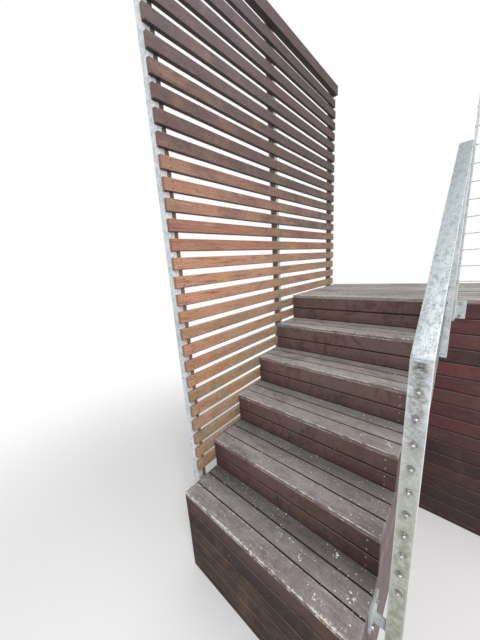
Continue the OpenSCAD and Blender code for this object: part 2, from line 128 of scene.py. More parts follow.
# What a user of the add-on may change
class DeckStairSizes(bpy.types.PropertyGroup):
    board_arris: length_value(
        "Board arris", "Rounding of the edges of boards and battens", 0.0018, 0.0003, 0.006)
    frame_arris: length_value(
        "Frame arris", "Rounding of the edges of the frame timbers", 0.003, 0.0003, 0.008)
    steel_arris: length_value(
        "Steel arris", "Rounding of the outer edges of the steel pieces", 0.0022, 0.0003, 0.004)
    board_lean: FloatProperty(
        name="Board lean", description="Largest angle by which a board lies out of true",
        default=0.0007, min=0.0, max=0.003, unit="ROTATION")
    board_warp: length_value(
        "Board warp", "How far the faces of the boards wander", 0.0005, 0.0, 0.002)
    stud_thick: length_value(
        "Stud thickness", "How thick the screen's studs look from the front", 0.024, 0.01, 0.045)
    stud_deep: length_value(
        "Stud depth", "How far the screen's studs reach behind the battens", 0.026, 0.01, 0.05)
    screw_head: length_value("Screw head", "Width of a deck screw's head", 0.0075, 0.004, 0.012)
    wire_lay: length_value(
        "Wire lay", "Length in which the strands of a wire turn once", 0.045, 0.02, 0.2)
    weld_bead: length_value(
        "Weld bead", "Radius of the weld beads on the brackets", 0.0028, 0.001, 0.006)
    crumb_density: FloatProperty(
        name="Crumb density", description="Leaf crumbs on a square metre of the corners",
        default=3000, min=0, max=6000)
    seed: IntProperty(
        name="Seed", description="Changes how the boards differ from one another",
        default=7, min=0, max=999)


class DeckStairColours(bpy.types.PropertyGroup):
    walked_grey: chart_colour("Walked grey", "Weathered timber that is walked on", 173, 172, 169)
    walked_brown: chart_colour(
        "Walked brown", "Timber of the treads where it is less weathered", 130, 123, 121)
    closing_red: chart_colour("Closing red", "Oiled timber of the risers", 106, 78, 72)
    closing_dark: chart_colour("Closing dark", "Darker grain of the risers", 72, 52, 50)
    # Painted light: the side's timber is a paler copy of the risers' timber, as the lit side looks.
    side_plum: chart_colour("Side plum", "Faded timber of the flight's side", 132, 114, 114)
    skirt_red: chart_colour("Skirt red", "Oiled timber of the skirt below the landing", 112, 58, 58)
    # Orange and plum hold painted light: orange where the screen is lit, plum partly painted shade
    # towards the wall and the top.
    batten_orange: chart_colour(
        "Batten orange", "Oiled timber of the screen where it is bright", 192, 138, 108)
    batten_plum: chart_colour(
        "Batten plum", "Timber of the screen towards the wall and its top", 82, 66, 67)
    batten_bleached: chart_colour("Batten bleached", "Bleached patches on the screen", 176, 158, 136)
    sawn_timber: chart_colour("Sawn timber", "Rough timber of the frame", 158, 138, 110)
    zinc_pale: chart_colour("Zinc pale", "Brightest zinc of the steel", 228, 236, 240)
    zinc_dull: chart_colour("Zinc dull", "Dull zinc of the steel", 186, 195, 198)


class DeckStairStage(bpy.types.PropertyGroup):
    camera_place: FloatVectorProperty(
        name="Camera place", description="Where the camera stands",
        subtype="TRANSLATION", unit="LENGTH", size=3, default=(0.58706, -0.60606, 1.41017))
    camera_turn: FloatVectorProperty(
        name="Camera turn", description="How the camera is turned",
        subtype="EULER", unit="ROTATION", size=3,
        default=(math.radians(77.140), math.radians(4.369), math.radians(43.121)))
    camera_lens: FloatProperty(
        name="Lens", description="Focal length on a 36 mm sensor",
        default=13.959, min=8, max=80, unit="CAMERA")
    room_light: FloatProperty(
        name="Room light", description="Strength of the even light from all round",
        default=0.55, min=0, max=2)
    key_power: FloatProperty(
        name="Key power", description="Power of the large lamp above",
        default=240, min=0, max=2000, unit="POWER")
    fill_power: FloatProperty(
        name="Fill power", description="Power of the lamp at the side",
        default=70, min=0, max=2000, unit="POWER")


def sizes():
    return bpy.context.scene.deck_stair_sizes


def colours():
    return bpy.context.scene.deck_stair_colours


# Node trees
def feed(socket, value):
    """Give a socket a value, or link it to another node's socket."""
    if isinstance(value, bpy.types.NodeSocket):
        socket.id_data.links.new(value, socket)
    elif socket.type == "RGBA" and len(value) == 3:
        socket.default_value = (*value, 1)
    else:
        socket.default_value = value


def add(tree, kind, feeds=None, **settings):
    """Add a node with its settings, and feed its sockets."""
    node = tree.nodes.new(kind)
    for key, value in settings.items():
        setattr(node, key, value)
    for key, value in (feeds or {}).items():
        feed(node.inputs[key], value)
    return node


def beside(kind, feeds, **settings):
    """Add a node to the tree of the first socket that feeds it."""
    sockets = [value for value in feeds.values() if isinstance(value, bpy.types.NodeSocket)]
    return add(sockets[0].id_data, kind, feeds, **settings)


def new_group(name, kind, takes, gives):
    """An empty node group, with its inputs' defaults or kinds by name, and its two end nodes."""
    tree = bpy.data.node_groups.new(name, kind)
    kinds = {float: "Float", int: "Int", tuple: "Vector"}
    for label, default in takes.items():
        by_name = isinstance(default, str)
        socket_type = "NodeSocket" + (default if by_name else kinds[type(default)])
        socket = tree.interface.new_socket(label, in_out="INPUT", socket_type=socket_type)
        if not by_name:
            socket.default_value = default
    for label in gives:
        socket_type = "NodeSocketGeometry" if kind == "GeometryNodeTree" else "NodeSocketFloat"
        tree.interface.new_socket(label, in_out="OUTPUT", socket_type=socket_type)
    return tree, tree.nodes.new("NodeGroupInput").outputs, tree.nodes.new("NodeGroupOutput").inputs


def maths(operation, *values):
    """One sum of numbers, as a socket."""
    return beside("ShaderNodeMath", dict(enumerate(values)), operation=operation).outputs[0]


def chained(operation, values):
    """A sum of any number of values, from the first to the last."""
    total = values[0]
    for value in values[1:]:
        total = maths(operation, total, value)
    return total


def times(*values):
    return chained("MULTIPLY", values)


def plus(*values):
    return chained("ADD", values)


def minus(*values):
    return chained("SUBTRACT", values)


def larger(*values):
    return chained("MAXIMUM", values)


def smaller(*values):
    return chained("MINIMUM", values)


def unsigned(value):
    return maths("ABSOLUTE", value)


def vectors(operation, *values):
    """One sum of vectors, as a socket."""
    return beside("ShaderNodeVectorMath", dict(enumerate(values)), operation=operation).outputs[0]


def scaled(vector, by):
    """A vector times a number, as a socket."""
    return beside("ShaderNodeVectorMath", {0: vector, 3: by}, operation="SCALE").outputs[0]


def parts(vector):
    """X, Y and Z of a vector."""
    return beside("ShaderNodeSeparateXYZ", {0: vector}).outputs


def length_of(vector):
    return beside("ShaderNodeVectorMath", {0: vector}, operation="LENGTH").outputs[1]


def fade(value, start, end, low=0.0, high=1.0):
    """A smooth change from low to high while the value goes from start to end."""
    return beside("ShaderNodeMapRange", {0: value, 1: start, 2: end, 3: low, 4: high},
                  interpolation_type="SMOOTHSTEP").outputs[0]


def laid_over(under, over, mask):
    """One colour over another where the mask is 1."""
    return beside("ShaderNodeMix", {0: mask, 6: under, 7: over}, data_type="RGBA").outputs[2]


def lay(under, over, *masks):
    """A colour of the paint chart over another, where all the masks are 1."""
    return laid_over(under, paint(*over), times(*masks))


def noise(vector, scale, detail=3.0, roughness=0.5, distortion=0.0):
    """Soft random noise between 0 and 1, as a socket."""
    return beside("ShaderNodeTexNoise", {
        "Vector": vector, "Scale": scale, "Detail": detail, "Roughness": roughness,
        "Distortion": distortion}).outputs[0]


def nudge(vector, scale, detail=2.0):
    """A soft random shift in all three directions, as far back as forward."""
    ripple = beside("ShaderNodeTexNoise", {"Vector": vector, "Scale": scale, "Detail": detail})
    return vectors("SUBTRACT", ripple.outputs[1], (0.5, 0.5, 0.5))


def cells(vector, scale):
    """Distances to the middles of random cells, and random numbers that each cell keeps."""
    node = beside("ShaderNodeTexVoronoi", {"Vector": vector, "Scale": scale})
    return node.outputs["Distance"], parts(node.outputs["Color"])


def once(name, make):
    """A node group that is made the first time it is asked for."""
    return bpy.data.node_groups.get(name) or make(name)


def effect(name, make, **feeds):
    """A shared effect placed in a material."""
    named = {key.replace("_", " "): value for key, value in feeds.items()}
    return beside("ShaderNodeGroup", named, node_tree=once(name, make)).outputs


# Shared effects
def make_grain(name):
    """Timber grain: broad bands, fine fibres and drying cracks along the board."""
    tree, given, result = new_group(name, "ShaderNodeTree", {
        "Place": "Vector", "Tone": 0.0, "Stretch": (1, 14, 14), "Bands Scale": 4.0,
        "Fibres Scale": 24.0}, ("Bands", "Fibres", "Cracks"))
    moved = vectors("ADD", given["Place"], scaled((31.7, 17.3, 23.9), given["Tone"]))
    drawn_out = vectors("MULTIPLY", moved, given["Stretch"])
    bands = noise(drawn_out, given["Bands Scale"], 3.0, 0.55, 0.9)
    fibres = noise(drawn_out, given["Fibres Scale"], 5.0, 0.72, 0.3)
    fissure = noise(drawn_out, times(given["Fibres Scale"], 0.32), 2.0, 0.5)
    thin = fade(unsigned(minus(fissure, 0.5)), 0.0, 0.014, 1.0, 0.0)
    where = fade(noise(moved, 3.1, 2.0), 0.5, 0.62)
    feed(result["Bands"], fade(bands, 0.3, 0.7))
    feed(result["Fibres"], fade(fibres, 0.28, 0.72))
    feed(result["Cracks"], times(thin, where))
    return tree


def make_worn_edge(name):
    """Wear along a board's edges, measured from the place that each point has on its board."""
    tree, given, result = new_group(name, "ShaderNodeTree", {
        "Place": "Vector", "Width": 0.003, "Raggedness": 0.8}, ("Mask",))
    on_board = add(tree, "ShaderNodeAttribute", attribute_name="place").outputs["Vector"]
    extent = add(tree, "ShaderNodeAttribute", attribute_name="extent").outputs["Vector"]
    inward = vectors("SUBTRACT", (0.5, 0.5, 0.5), vectors("ABSOLUTE", on_board))
    x, y, z = parts(vectors("MULTIPLY", inward, extent))
    to_edge = minus(plus(x, y, z), smaller(x, y, z), larger(x, y, z))
    rough = minus(noise(given["Place"], 70.0, 4.0, 0.7), 0.5)
    ragged = times(rough, times(given["Raggedness"], 4.0))
    width = times(given["Width"], plus(ragged, 1.0))
    feed(result["Mask"], fade(to_edge, width, times(width, 0.35)))
    return tree


def make_spots(name):
    """Scattered spots of lichen, droppings and flecks, each with a ragged edge."""
    tree, given, result = new_group(name, "ShaderNodeTree", {
        "Place": "Vector", "Scale": 24.0, "Share": 0.3, "Size": 0.16}, ("Mask",))
    frayed = vectors("ADD", given["Place"], scaled(nudge(given["Place"], 130.0), 0.006))
    off, chance = cells(frayed, given["Scale"])
    chosen = maths("LESS_THAN", chance[0], given["Share"])
    size = times(given["Size"], plus(chance[1], 0.25))
    feed(result["Mask"], times(fade(off, size, times(size, 0.7)), chosen))
    return tree


def make_zinc(name):
    """Hot-dip zinc: small soft mottles, dark flecks, small pits and a fine crystal grain."""
    tree, given, result = new_group(name, "ShaderNodeTree", {
        "Place": "Vector", "Fleck Cover": 0.5, "Cloud Scale": 60.0},
        ("Clouds", "Flecks", "Pits", "Grit"))
    fine = noise(given["Place"], given["Cloud Scale"], 7.0, 0.72)
    broad = noise(given["Place"], 11.0, 4.0, 0.6)
    clouds = fade(plus(times(fine, 0.66), times(broad, 0.34)), 0.38, 0.6)
    speckle = noise(given["Place"], 300.0, 3.0, 0.66)
    bar = minus(0.7, times(given["Fleck Cover"], fade(clouds, 0.0, 1.0, 0.2, 0.09)))
    off, chance = cells(given["Place"], 150.0)
    chosen = maths("LESS_THAN", chance[0], times(given["Fleck Cover"], 0.34))
    width = plus(times(chance[1], 0.2), 0.14)
    feed(result["Clouds"], clouds)
    feed(result["Flecks"], fade(speckle, bar, plus(bar, 0.04)))
    feed(result["Pits"], times(fade(off, width, times(width, 0.6)), chosen))
    feed(result["Grit"], noise(given["Place"], 520.0, 3.0, 0.7))
    return tree


# Materials
def new_finish(name):
    """An empty material's tree and shader."""
    material = bpy.data.materials.new(name)
    material.use_nodes = True
    return material.node_tree, material.node_tree.nodes["Principled BSDF"]


def own_place(tree):
    return add(tree, "ShaderNodeTexCoord").outputs["Object"]


def own_value(tree, name):
    return add(tree, "ShaderNodeAttribute", attribute_name=name).outputs["Fac"]


def own_parts(tree, name):
    """X, Y and Z of a vector that the mesh holds."""
    return parts(add(tree, "ShaderNodeAttribute", attribute_name=name).outputs["Vector"])


def stretch_along(axis, across):
    """Draws a pattern out along one axis."""
    return tuple(1.0 if i == axis else across for i in range(3))


def dress(shader, colour, rough, height, depth, strength=0.7, metal=0.0, sheen=0.5):
    """Feed a finish's shader with its colour, roughness and relief."""
    bump = beside("ShaderNodeBump", {"Height": height, "Distance": depth, "Strength": strength})
    feed(shader.inputs["Base Color"], colour)
    feed(shader.inputs["Roughness"], rough)
    feed(shader.inputs["Metallic"], metal)
    feed(shader.inputs["Specular IOR Level"], sheen)
    feed(shader.inputs["Normal"], bump.outputs[0])


def timber_parts(tree, axis, across, bands_scale, fibres_scale):
    """The place, tone, bands, fibres and cracks that every timber finish starts from."""
    place = own_place(tree)
    tone = own_value(tree, "tone")
    grain = effect("timber_grain", make_grain, Place=place, Tone=tone,
                   Stretch=stretch_along(axis, across), Bands_Scale=bands_scale,
                   Fibres_Scale=fibres_scale)
    return place, tone, grain["Bands"], grain["Fibres"], grain["Cracks"]


def second_tone(tone):
    """Another steady random number for the same board."""
    return maths("FRACT", times(tone, 7.31))


def spots(place, scale, share, size):
    return effect("scattered_spots", make_spots, Place=place, Scale=scale, Share=share,
                  Size=size)["Mask"]


def near_side(tree, axis, side, width):
    """A band along one side of every board, as wide as given."""
    inward = minus(0.5, times(own_parts(tree, "place")[axis], side))
    return fade(times(inward, own_parts(tree, "extent")[axis]), width, width * 0.45)


def rough_faces(colour, place, scale, amount):
    """Lightens and darkens a colour with a fine even grain."""
    grit = noise(place, scale, 3.0, 0.65)
    dark = laid_over(colour, (0.0, 0.0, 0.0), fade(grit, 0.52, 0.3, 0.0, amount))
    return laid_over(dark, (1.0, 1.0, 1.0), fade(grit, 0.5, 0.72, 0.0, amount * 0.5))


def walked_finish(name, nose_width, nose_rag, nose_bar, stepped, plum):
    """Weathered boards that are walked on: grey, dirty and with painted shade at the back, dusty and
    worn at the nose.
    """
    tree, shader = new_finish(name)
    tint = colours()
    place, tone, bands, fibres, cracks = timber_parts(tree, 0, 17.0, 3.6, 17.0)
    axes = parts(place)
    facing = own_parts(tree, "facing")
    first = maths("LESS_THAN", own_value(tree, "row"), 0.5)
    patches = noise(place, 6.5, 5.0, 0.66, 0.4)
    grey = plus(times(bands, 0.35), times(fade(patches, 0.34, 0.64), 0.65))
    colour = laid_over(tint.walked_brown, tint.walked_grey, grey)
    # Lighter with height: partly weathering, partly a painted sheen of the higher treads seen at a
    # grazing angle.
    colour = lay(colour, (222, 218, 210), fade(axes[2], 0.1, LANDING_TOP, 0.0, 0.62))
    plum_here = times(fade(second_tone(tone), 0.1, 1.0, 0.15, 1.0),
                      fade(axes[0], -0.25, 0.3, 0.35, 1.0), plum)
    colour = lay(colour, (148, 122, 130), plum_here)
    colour = lay(colour, (76, 71, 68), fade(fibres, 0.55, 0.15, 0.0, 0.36))
    colour = lay(colour, (40, 35, 33), cracks, 0.55)
    stains = fade(noise(place, 26.0, 6.0, 0.76), 0.48, 0.7, 0.0, 0.42)
    colour = lay(colour, (84, 82, 78), stains)
    soaked = noise(vectors("MULTIPLY", place, (0.5, 1, 1)), 5.0, 5.0, 0.7, 0.5)
    colour = lay(colour, (74, 72, 70), fade(soaked, 0.5, 0.64, 0.0, 0.42))
    if stepped:
        along_step = times(maths("FRACT", maths("DIVIDE", axes[1], GOING)), GOING)
        reached = plus(along_step, times(minus(patches, 0.5), 0.1))
        lower = fade(axes[2], 0.15, 1.05, 1.0, 0.22)
        left = fade(axes[0], -0.05, -0.4, 0.8, 1.0)
        # Painted shade of the riser above, with real dirt, darkens the back of each tread, most on
        # the lower treads and towards the left.
        back_shade_and_dirt = times(fade(reached, GOING * 0.3, GOING * 0.98), lower, left)
        colour = lay(colour, (52, 52, 50), back_shade_and_dirt, 0.8)
        crumbs = spots(place, 95.0, 0.6, 0.3)
        at_back = fade(reached, GOING * 0.55, GOING * 0.95)
        at_left = fade(axes[0], 0.1, -0.4, 0.4, 1.0)
        colour = lay(colour, (184, 174, 150), crumbs, at_back, at_left, 0.85)
    else:
        colour = lay(colour, (224, 217, 212), first, 0.34)
    dust = fade(noise(place, 260.0, 4.0, 0.74), 0.54, 0.68, 0.0, 0.46)
    colour = lay(colour, (196, 192, 186), dust)
    edge = effect("worn_edge", make_worn_edge, Place=place, Width=nose_width,
                  Raggedness=nose_rag)["Mask"]
    noses = fade(noise(vectors("MULTIPLY", place, (1, 0.2, 1)), 9.0, 7.0, 0.76), nose_bar,
                 nose_bar + 0.05)
    noses = times(noses, fade(axes[0], 0.44, 0.38, 0.2, 1.0))
    flaked = fade(noise(place, 190.0, 4.0, 0.7), 0.36, 0.46, 0.1, 1.0)
    nose = times(first, fade(facing[1], 0.2, -0.2), edge)
    in_front = fade(own_parts(tree, "place")[1], 0.0, -0.3)
    near_nose = times(first, in_front, edge, fade(facing[2], 0.5, 0.8))
    rubbed = times(larger(nose, near_nose), noses, flaked)
    sunk = times(fade(facing[2], 0.75, 0.4), fade(facing[0], 0.8, 0.4),
                 fade(times(facing[0], -1.0), 0.8, 0.4))
    front_face = times(first, fade(facing[1], -0.3, -0.6))
    in_gap = times(sunk, minus(1.0, front_face))
    # Painted shade on the front face of each nose.
    colour = lay(colour, (112, 94, 90), front_face, 0.6)
    # Painted shade in the gaps between boards: a dark band beside each gap and near-black walls
    # inside it.
    fore_side = times(near_side(tree, 1, -1.0, 0.0036), minus(1.0, first))
    beside_gap = larger(fore_side, near_side(tree, 1, 1.0, 0.0036))
    colour = lay(colour, (26, 22, 21), beside_gap, 0.72)
    colour = lay(colour, (12, 10, 9), in_gap, 0.96)
    colour = lay(colour, (234, 229, 221), rubbed, 0.92)
    broken = fade(noise(place, 150.0, 3.0, 0.6), 0.35, 0.55, 0.3, 1.0)
    droppings = times(spots(place, 14.0, 0.16, 0.1), broken)
    colour = lay(colour, (226, 222, 214), droppings, 0.9)
    small = larger(spots(place, 44.0, 0.32, 0.16), spots(place, 86.0, 0.3, 0.22))
    colour = lay(colour, (238, 235, 228), small, 0.92)
    colour = rough_faces(colour, place, 560.0, 0.2)
    relief = plus(minus(fibres, times(cracks, 1.4)), droppings)
    dress(shader, colour, fade(fibres, 0.1, 0.9, 0.88, 0.7), relief, 0.0006, sheen=0.3)


def closing_finish(name, axis, light, dark, gloss, arris_highlight, arris_highlight_share, tone_span, dust,
                   dark_foot_and_deck_shade=0.0, bleached=0.0, streaked=0.4, sheen=0.35):
    """Oiled boards that close risers, side and skirt, with a painted highlight on the upper arrises
    and painted shade in the joints.
    """
    tree, shader = new_finish(name)
    place, tone, bands, fibres, cracks = timber_parts(tree, axis, 15.0, 4.2, 24.0)
    facing = own_parts(tree, "facing")
    patches = noise(place, 7.0, 4.0, 0.62, 0.5)
    shade = plus(times(bands, 0.35), times(fade(patches, 0.3, 0.7), 0.3),
                 fade(tone, 0.0, 1.0, -0.15, tone_span))
    colour = laid_over(dark, light, smaller(larger(shade, 0.0), 1.0))
    browner = fade(second_tone(tone), 0.45, 1.0, 0.0, 0.45)
    colour = lay(colour, (82, 66, 58), browner)
    colour = lay(colour, (38, 26, 25), fade(fibres, 0.55, 0.15, 0.0, 0.4))
    colour = lay(colour, (24, 17, 16), cracks, 0.5)
    axes = parts(place)
    along, height = axes[0], axes[2]
    if bleached:
        colour = lay(colour, (150, 128, 124), fade(height, 0.12, 0.9, 0.0, bleached))
        low_steps = fade(height, 0.5, 0.16, 0.0, 1.0)
        right_end = times(low_steps, fade(along, 0.1, 0.4, 0.0, 0.6))
        foot = fade(height, 0.2, 0.05, 0.0, 0.86)
        colour = lay(colour, (40, 32, 30), larger(right_end, foot))
        upper_row = fade(own_value(tree, "row"), 0.3, 0.7)
        clouds = fade(noise(place, 2.6, 5.0, 0.62, 0.8), 0.48, 0.62)
        colour = lay(colour, (98, 80, 66), clouds, upper_row, 0.4)
        lower_row = minus(1.0, upper_row)
        clear = minus(1.0, times(clouds, upper_row))
        above_foot = fade(height, 0.0, 0.2, 0.1, 1.0)
        colour = lay(colour, (96, 62, 64), clear, above_foot, 0.3)
        # Painted shade under the landing's nosing, at the top of the highest riser.
        under_edge = fade(height, LANDING_TOP - 0.13, LANDING_TOP - 0.06, 0.0, 0.26)
        colour = lay(colour, (56, 42, 46), under_edge)
        off_middle = unsigned(along)
        dusty = times(fade(off_middle, 0.36, 0.06, 0.07, 0.2), above_foot)
        colour = lay(colour, (140, 126, 128), dusty)
        ends = fade(off_middle, 0.33, 0.45, 0.0, 0.42)
        scuffs = fade(noise(place, 19.0, 5.0, 0.7), 0.35, 0.6, 0.4, 1.0)
        splashed = times(near_side(tree, 2, -1.0, 0.05), lower_row, 0.32)
        colour = lay(colour, (46, 35, 34), larger(ends, splashed), scuffs)
    if dark_foot_and_deck_shade:
        colour = lay(colour, (36, 28, 26), fade(height, GROUND + 1.2, GROUND - 0.1, 0.0, dark_foot_and_deck_shade))
        # Painted shade under the landing's nosing, along the top of the skirt.
        under_deck = fade(height, LANDING_TOP - 0.14, LANDING_TOP - 0.05, 0.0, 0.75)
        colour = lay(colour, (40, 26, 36), under_deck)
    runs = noise(vectors("MULTIPLY", place, (1, 1, 0.32)), 17.0, 6.0, 0.76, 0.4)
    uneven = fade(noise(place, 3.3, 3.0), 0.42, 0.6, 0.15, 1.0)
    run_mask = times(fade(runs, 0.47, 0.68, 0.0, streaked), uneven)
    colour = lay(colour, (44, 34, 31), run_mask)
    blots = fade(noise(place, 10.0, 6.0, 0.72, 0.5), 0.5, 0.64, 0.0, streaked * 0.8)
    colour = lay(colour, (60, 50, 44), blots)
    warm = fade(noise(place, 4.6, 5.0, 0.66, 0.6), 0.5, 0.66, 0.0, streaked * 0.6)
    colour = lay(colour, (112, 84, 66), warm)
    film = fade(noise(place, 34.0, 5.0, 0.72), 0.45, 0.8, 0.0, dust)
    colour = lay(colour, (130, 118, 110), film)
    # Painted highlight and shade: the upward arrises and the top of each board's face are painted
    # pale, the downward arrises, the bottom of each face and the level faces in the joints dark.
    out = larger(unsigned(facing[0]), unsigned(facing[1]))
    ragged = fade(noise(place, 26.0, 4.0, 0.7), 0.34, 0.6, 0.3, 1.0)
    upper = times(fade(facing[2], 0.2, 0.4), fade(out, 0.2, 0.4), ragged, arris_highlight_share * 0.8)
    lower = times(fade(facing[2], -0.2, -0.4), fade(out, 0.2, 0.4), 0.7)
    level = fade(unsigned(facing[2]), 0.93, 0.99, 0.0, 0.97)
    shown = fade(out, 0.8, 0.95)
    fainter = fade(height, GROUND + 0.3, GROUND + 1.0, 0.3, 1.0) if dark_foot_and_deck_shade else 1.0
    colour = laid_over(colour, arris_highlight,
                       times(near_side(tree, 2, 1.0, 0.0045), ragged, shown, fainter,
                             arris_highlight_share * 0.8))
    colour = lay(colour, (16, 11, 11), near_side(tree, 2, -1.0, 0.009), shown, 0.85)
    colour = laid_over(colour, arris_highlight, upper)
    colour = lay(colour, (20, 14, 14), lower)
    colour = lay(colour, (12, 9, 9), level)
    drips = spots(place, 38.0, 0.14, 0.1)
    colour = lay(colour, (190, 180, 170), drips, shown, 0.65)
    colour = rough_faces(colour, place, 420.0, 0.14)
    rough = plus(fade(fibres, 0.1, 0.9, gloss + 0.12, gloss), film)
    dress(shader, colour, rough, minus(fibres, cracks), 0.0005, sheen=sheen)


def batten_finish(name, dulled=0.0):
    """Oiled battens: orange low and in front, plum towards the wall and the top partly as painted
    shade, patchy low down.
    """
    tree, shader = new_finish(name)
    tint = colours()
    low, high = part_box("screen_battens")
    stud = middle_of("screen_post_mid", 1)
    place, tone, _, fibres, cracks = timber_parts(tree, 1, 14.0, 3.4, 22.0)
    axes = parts(place)
    facing = own_parts(tree, "facing")
    patches = noise(place, 4.2, 5.0, 0.66, 0.6)
    # Orange to plum is partly the timber's colour and partly painted light: lit in front and low
    # down, painted shade towards the wall and the top.
    back = fade(axes[1], low.y + 0.3, high.y)
    up = fade(axes[2], low.z + 1.05, low.z + 2.05)
    shade = plus(times(back, 0.5), up, times(minus(patches, 0.5), 1.3),
                 fade(tone, 0.0, 1.0, -0.1, 0.16))
    colour = laid_over(tint.batten_orange, tint.batten_plum, smaller(larger(shade, 0.0), 1.0))
    # Painted shade near the wall on the top rows.
    top_rows = fade(axes[2], low.z + 1.6, low.z + 1.9)
    colour = lay(colour, (44, 32, 32), back, top_rows, 0.75)
    # Painted reflection of the sky: a bluish sheen on the top rows towards the front.
    painted_sky_sheen = times(fade(axes[2], low.z + 1.95, low.z + 2.3, 0.0, 0.26),
                   fade(axes[1], low.y + 1.1, low.y + 0.5))
    colour = lay(colour, (108, 104, 124), painted_sky_sheen)
    reddened = times(fade(second_tone(tone), 0.45, 0.9, 0.0, 0.5), fade(up, 0.3, 1.0, 1.0, 0.25))
    colour = lay(colour, (148, 90, 74), reddened)
    near_foot = fade(axes[2], low.z + 1.3, low.z + 0.2)
    bright = times(fade(noise(place, 3.8, 5.0, 0.66, 0.5), 0.47, 0.58), near_foot,
                   fade(second_tone(tone), 0.95, 0.4))
    colour = lay(colour, (220, 146, 92), bright, 0.72)
    third_tone = maths("FRACT", times(tone, 23.7))
    olive = times(fade(third_tone, 0.4, 1.0), near_foot, fade(patches, 0.3, 0.6, 0.3, 1.0))
    colour = lay(colour, (134, 116, 88), olive, 0.62)
    at_front = fade(axes[1], low.y + 0.7, low.y, 0.35, 1.0)
    greyed = times(fade(noise(place, 8.0, 6.0, 0.74, 0.7), 0.46, 0.58),
                   fade(near_foot, 0.0, 1.0, 0.1, 1.0), at_front)
    colour = laid_over(colour, tint.batten_bleached, times(greyed, 0.72))
    green = fade(noise(place, 7.0, 7.0, 0.76), 0.43, 0.57)
    by_wall = fade(axes[1], high.y - 0.8, high.y - 0.1, 0.0, 0.7)
    by_stud = fade(unsigned(minus(axes[1], stud)), 0.16, 0.02)
    low_down = fade(axes[2], low.z + 1.1, low.z + 0.3, 0.0, 0.7)
    mossy_rows = fade(axes[2], low.z + 2.1, low.z + 1.3)
    where = larger(by_wall, by_stud, low_down)
    colour = lay(colour, (142, 132, 92), green, where, mossy_rows, 0.8)
    beside_steps = larger(fade(axes[1], low.y + 0.2, low.y + 0.6),
                          fade(axes[2], low.z + 0.5, low.z + 0.2, 0.0, 0.7))
    ashen = times(beside_steps, fade(axes[2], low.z + 1.4, low.z + 0.7),
                  fade(patches, 0.3, 0.65, 0.5, 1.0), 0.42)
    colour = lay(colour, (144, 146, 128), ashen)
    mould = times(fade(noise(place, 60.0, 6.0, 0.78), 0.5, 0.62),
                  fade(near_foot, 0.0, 1.0, 0.2, 1.0))
    colour = lay(colour, (62, 50, 40), mould, 0.52)
    long_streaks = noise(vectors("MULTIPLY", place, (1, 0.07, 1)), 64.0, 5.0, 0.74, 0.6)
    dark_streaks = times(fade(long_streaks, 0.5, 0.68, 0.0, 0.68),
                         fade(near_foot, 0.0, 1.0, 1.0, 0.4))
    colour = lay(colour, (84, 54, 42), dark_streaks)
    pale_streaks = times(fade(long_streaks, 0.45, 0.3, 0.0, 0.4), fade(up, 0.0, 1.0, 1.0, 0.3))
    colour = lay(colour, (206, 168, 132), pale_streaks)
    colour = lay(colour, (74, 48, 38), fade(fibres, 0.45, 0.12, 0.0, 0.22))
    colour = lay(colour, (30, 22, 20), cracks, fade(near_foot, 0.0, 1.0, 0.6, 0.35))
    # Painted highlight on the upward arrises; painted shade along the bottom of each batten and on
    # its downward arrises.
    out = unsigned(facing[0])
    ragged = fade(noise(place, 22.0, 4.0, 0.7), 0.34, 0.6, 0.35, 1.0)
    upper = times(fade(facing[2], 0.2, 0.4), fade(out, 0.2, 0.4), ragged, 0.5)
    colour = lay(colour, (206, 180, 154), upper)
    under = times(near_side(tree, 2, -1.0, 0.006), 0.6)
    colour = lay(colour, (52, 36, 30), under)
    lower = times(fade(facing[2], -0.2, -0.4), 0.7)
    colour = lay(colour, (40, 28, 24), lower)
    ends = fade(unsigned(facing[1]), 0.6, 0.9, 0.0, 0.6)
    colour = lay(colour, (116, 92, 78), ends)
    if dulled:
        colour = lay(colour, (96, 80, 68), dulled)
    colour = rough_faces(colour, place, 380.0, 0.16)
    dress(shader, colour, fade(fibres, 0.1, 0.9, 0.74, 0.54), minus(fibres, cracks), 0.0005)


def sawn_finish(name, axis):
    """Rough sawn treated timber of the frame, with saw marks, knots and damp patches."""
    tree, shader = new_finish(name)
    place, _, bands, fibres, _ = timber_parts(tree, axis, 11.0, 3.0, 18.0)
    patches = fade(noise(place, 4.0, 4.0, 0.6, 0.5), 0.35, 0.65)
    colour = laid_over(colours().sawn_timber, paint(128, 112, 84), times(bands, 0.75))
    colour = lay(colour, (122, 124, 92), patches, 0.4)
    colour = lay(colour, (84, 66, 46), fade(fibres, 0.5, 0.12, 0.0, 0.55))
    off_knot, _ = cells(vectors("MULTIPLY", place, stretch_along(axis, 2.2)), 2.6)
    knots = fade(off_knot, 0.1, 0.05)
    colour = lay(colour, (86, 56, 38), knots, 0.8)
    foot = fade(parts(place)[2], GROUND + 0.18, GROUND)
    colour = lay(colour, (74, 64, 52), foot, 0.6)
    arrises = times(own_value(tree, "arris"), 0.35)
    colour = lay(colour, (176, 160, 134), arrises)
    marks = beside("ShaderNodeTexWave", {
        "Vector": place, "Scale": 90.0, "Distortion": 2.5, "Detail": 2.0},
        bands_direction="XYZ"[axis])
    relief = plus(fibres, times(marks.outputs[1], 0.3))
    dress(shader, colour, fade(fibres, 0.1, 0.9, 0.95, 0.8), relief, 0.0008)


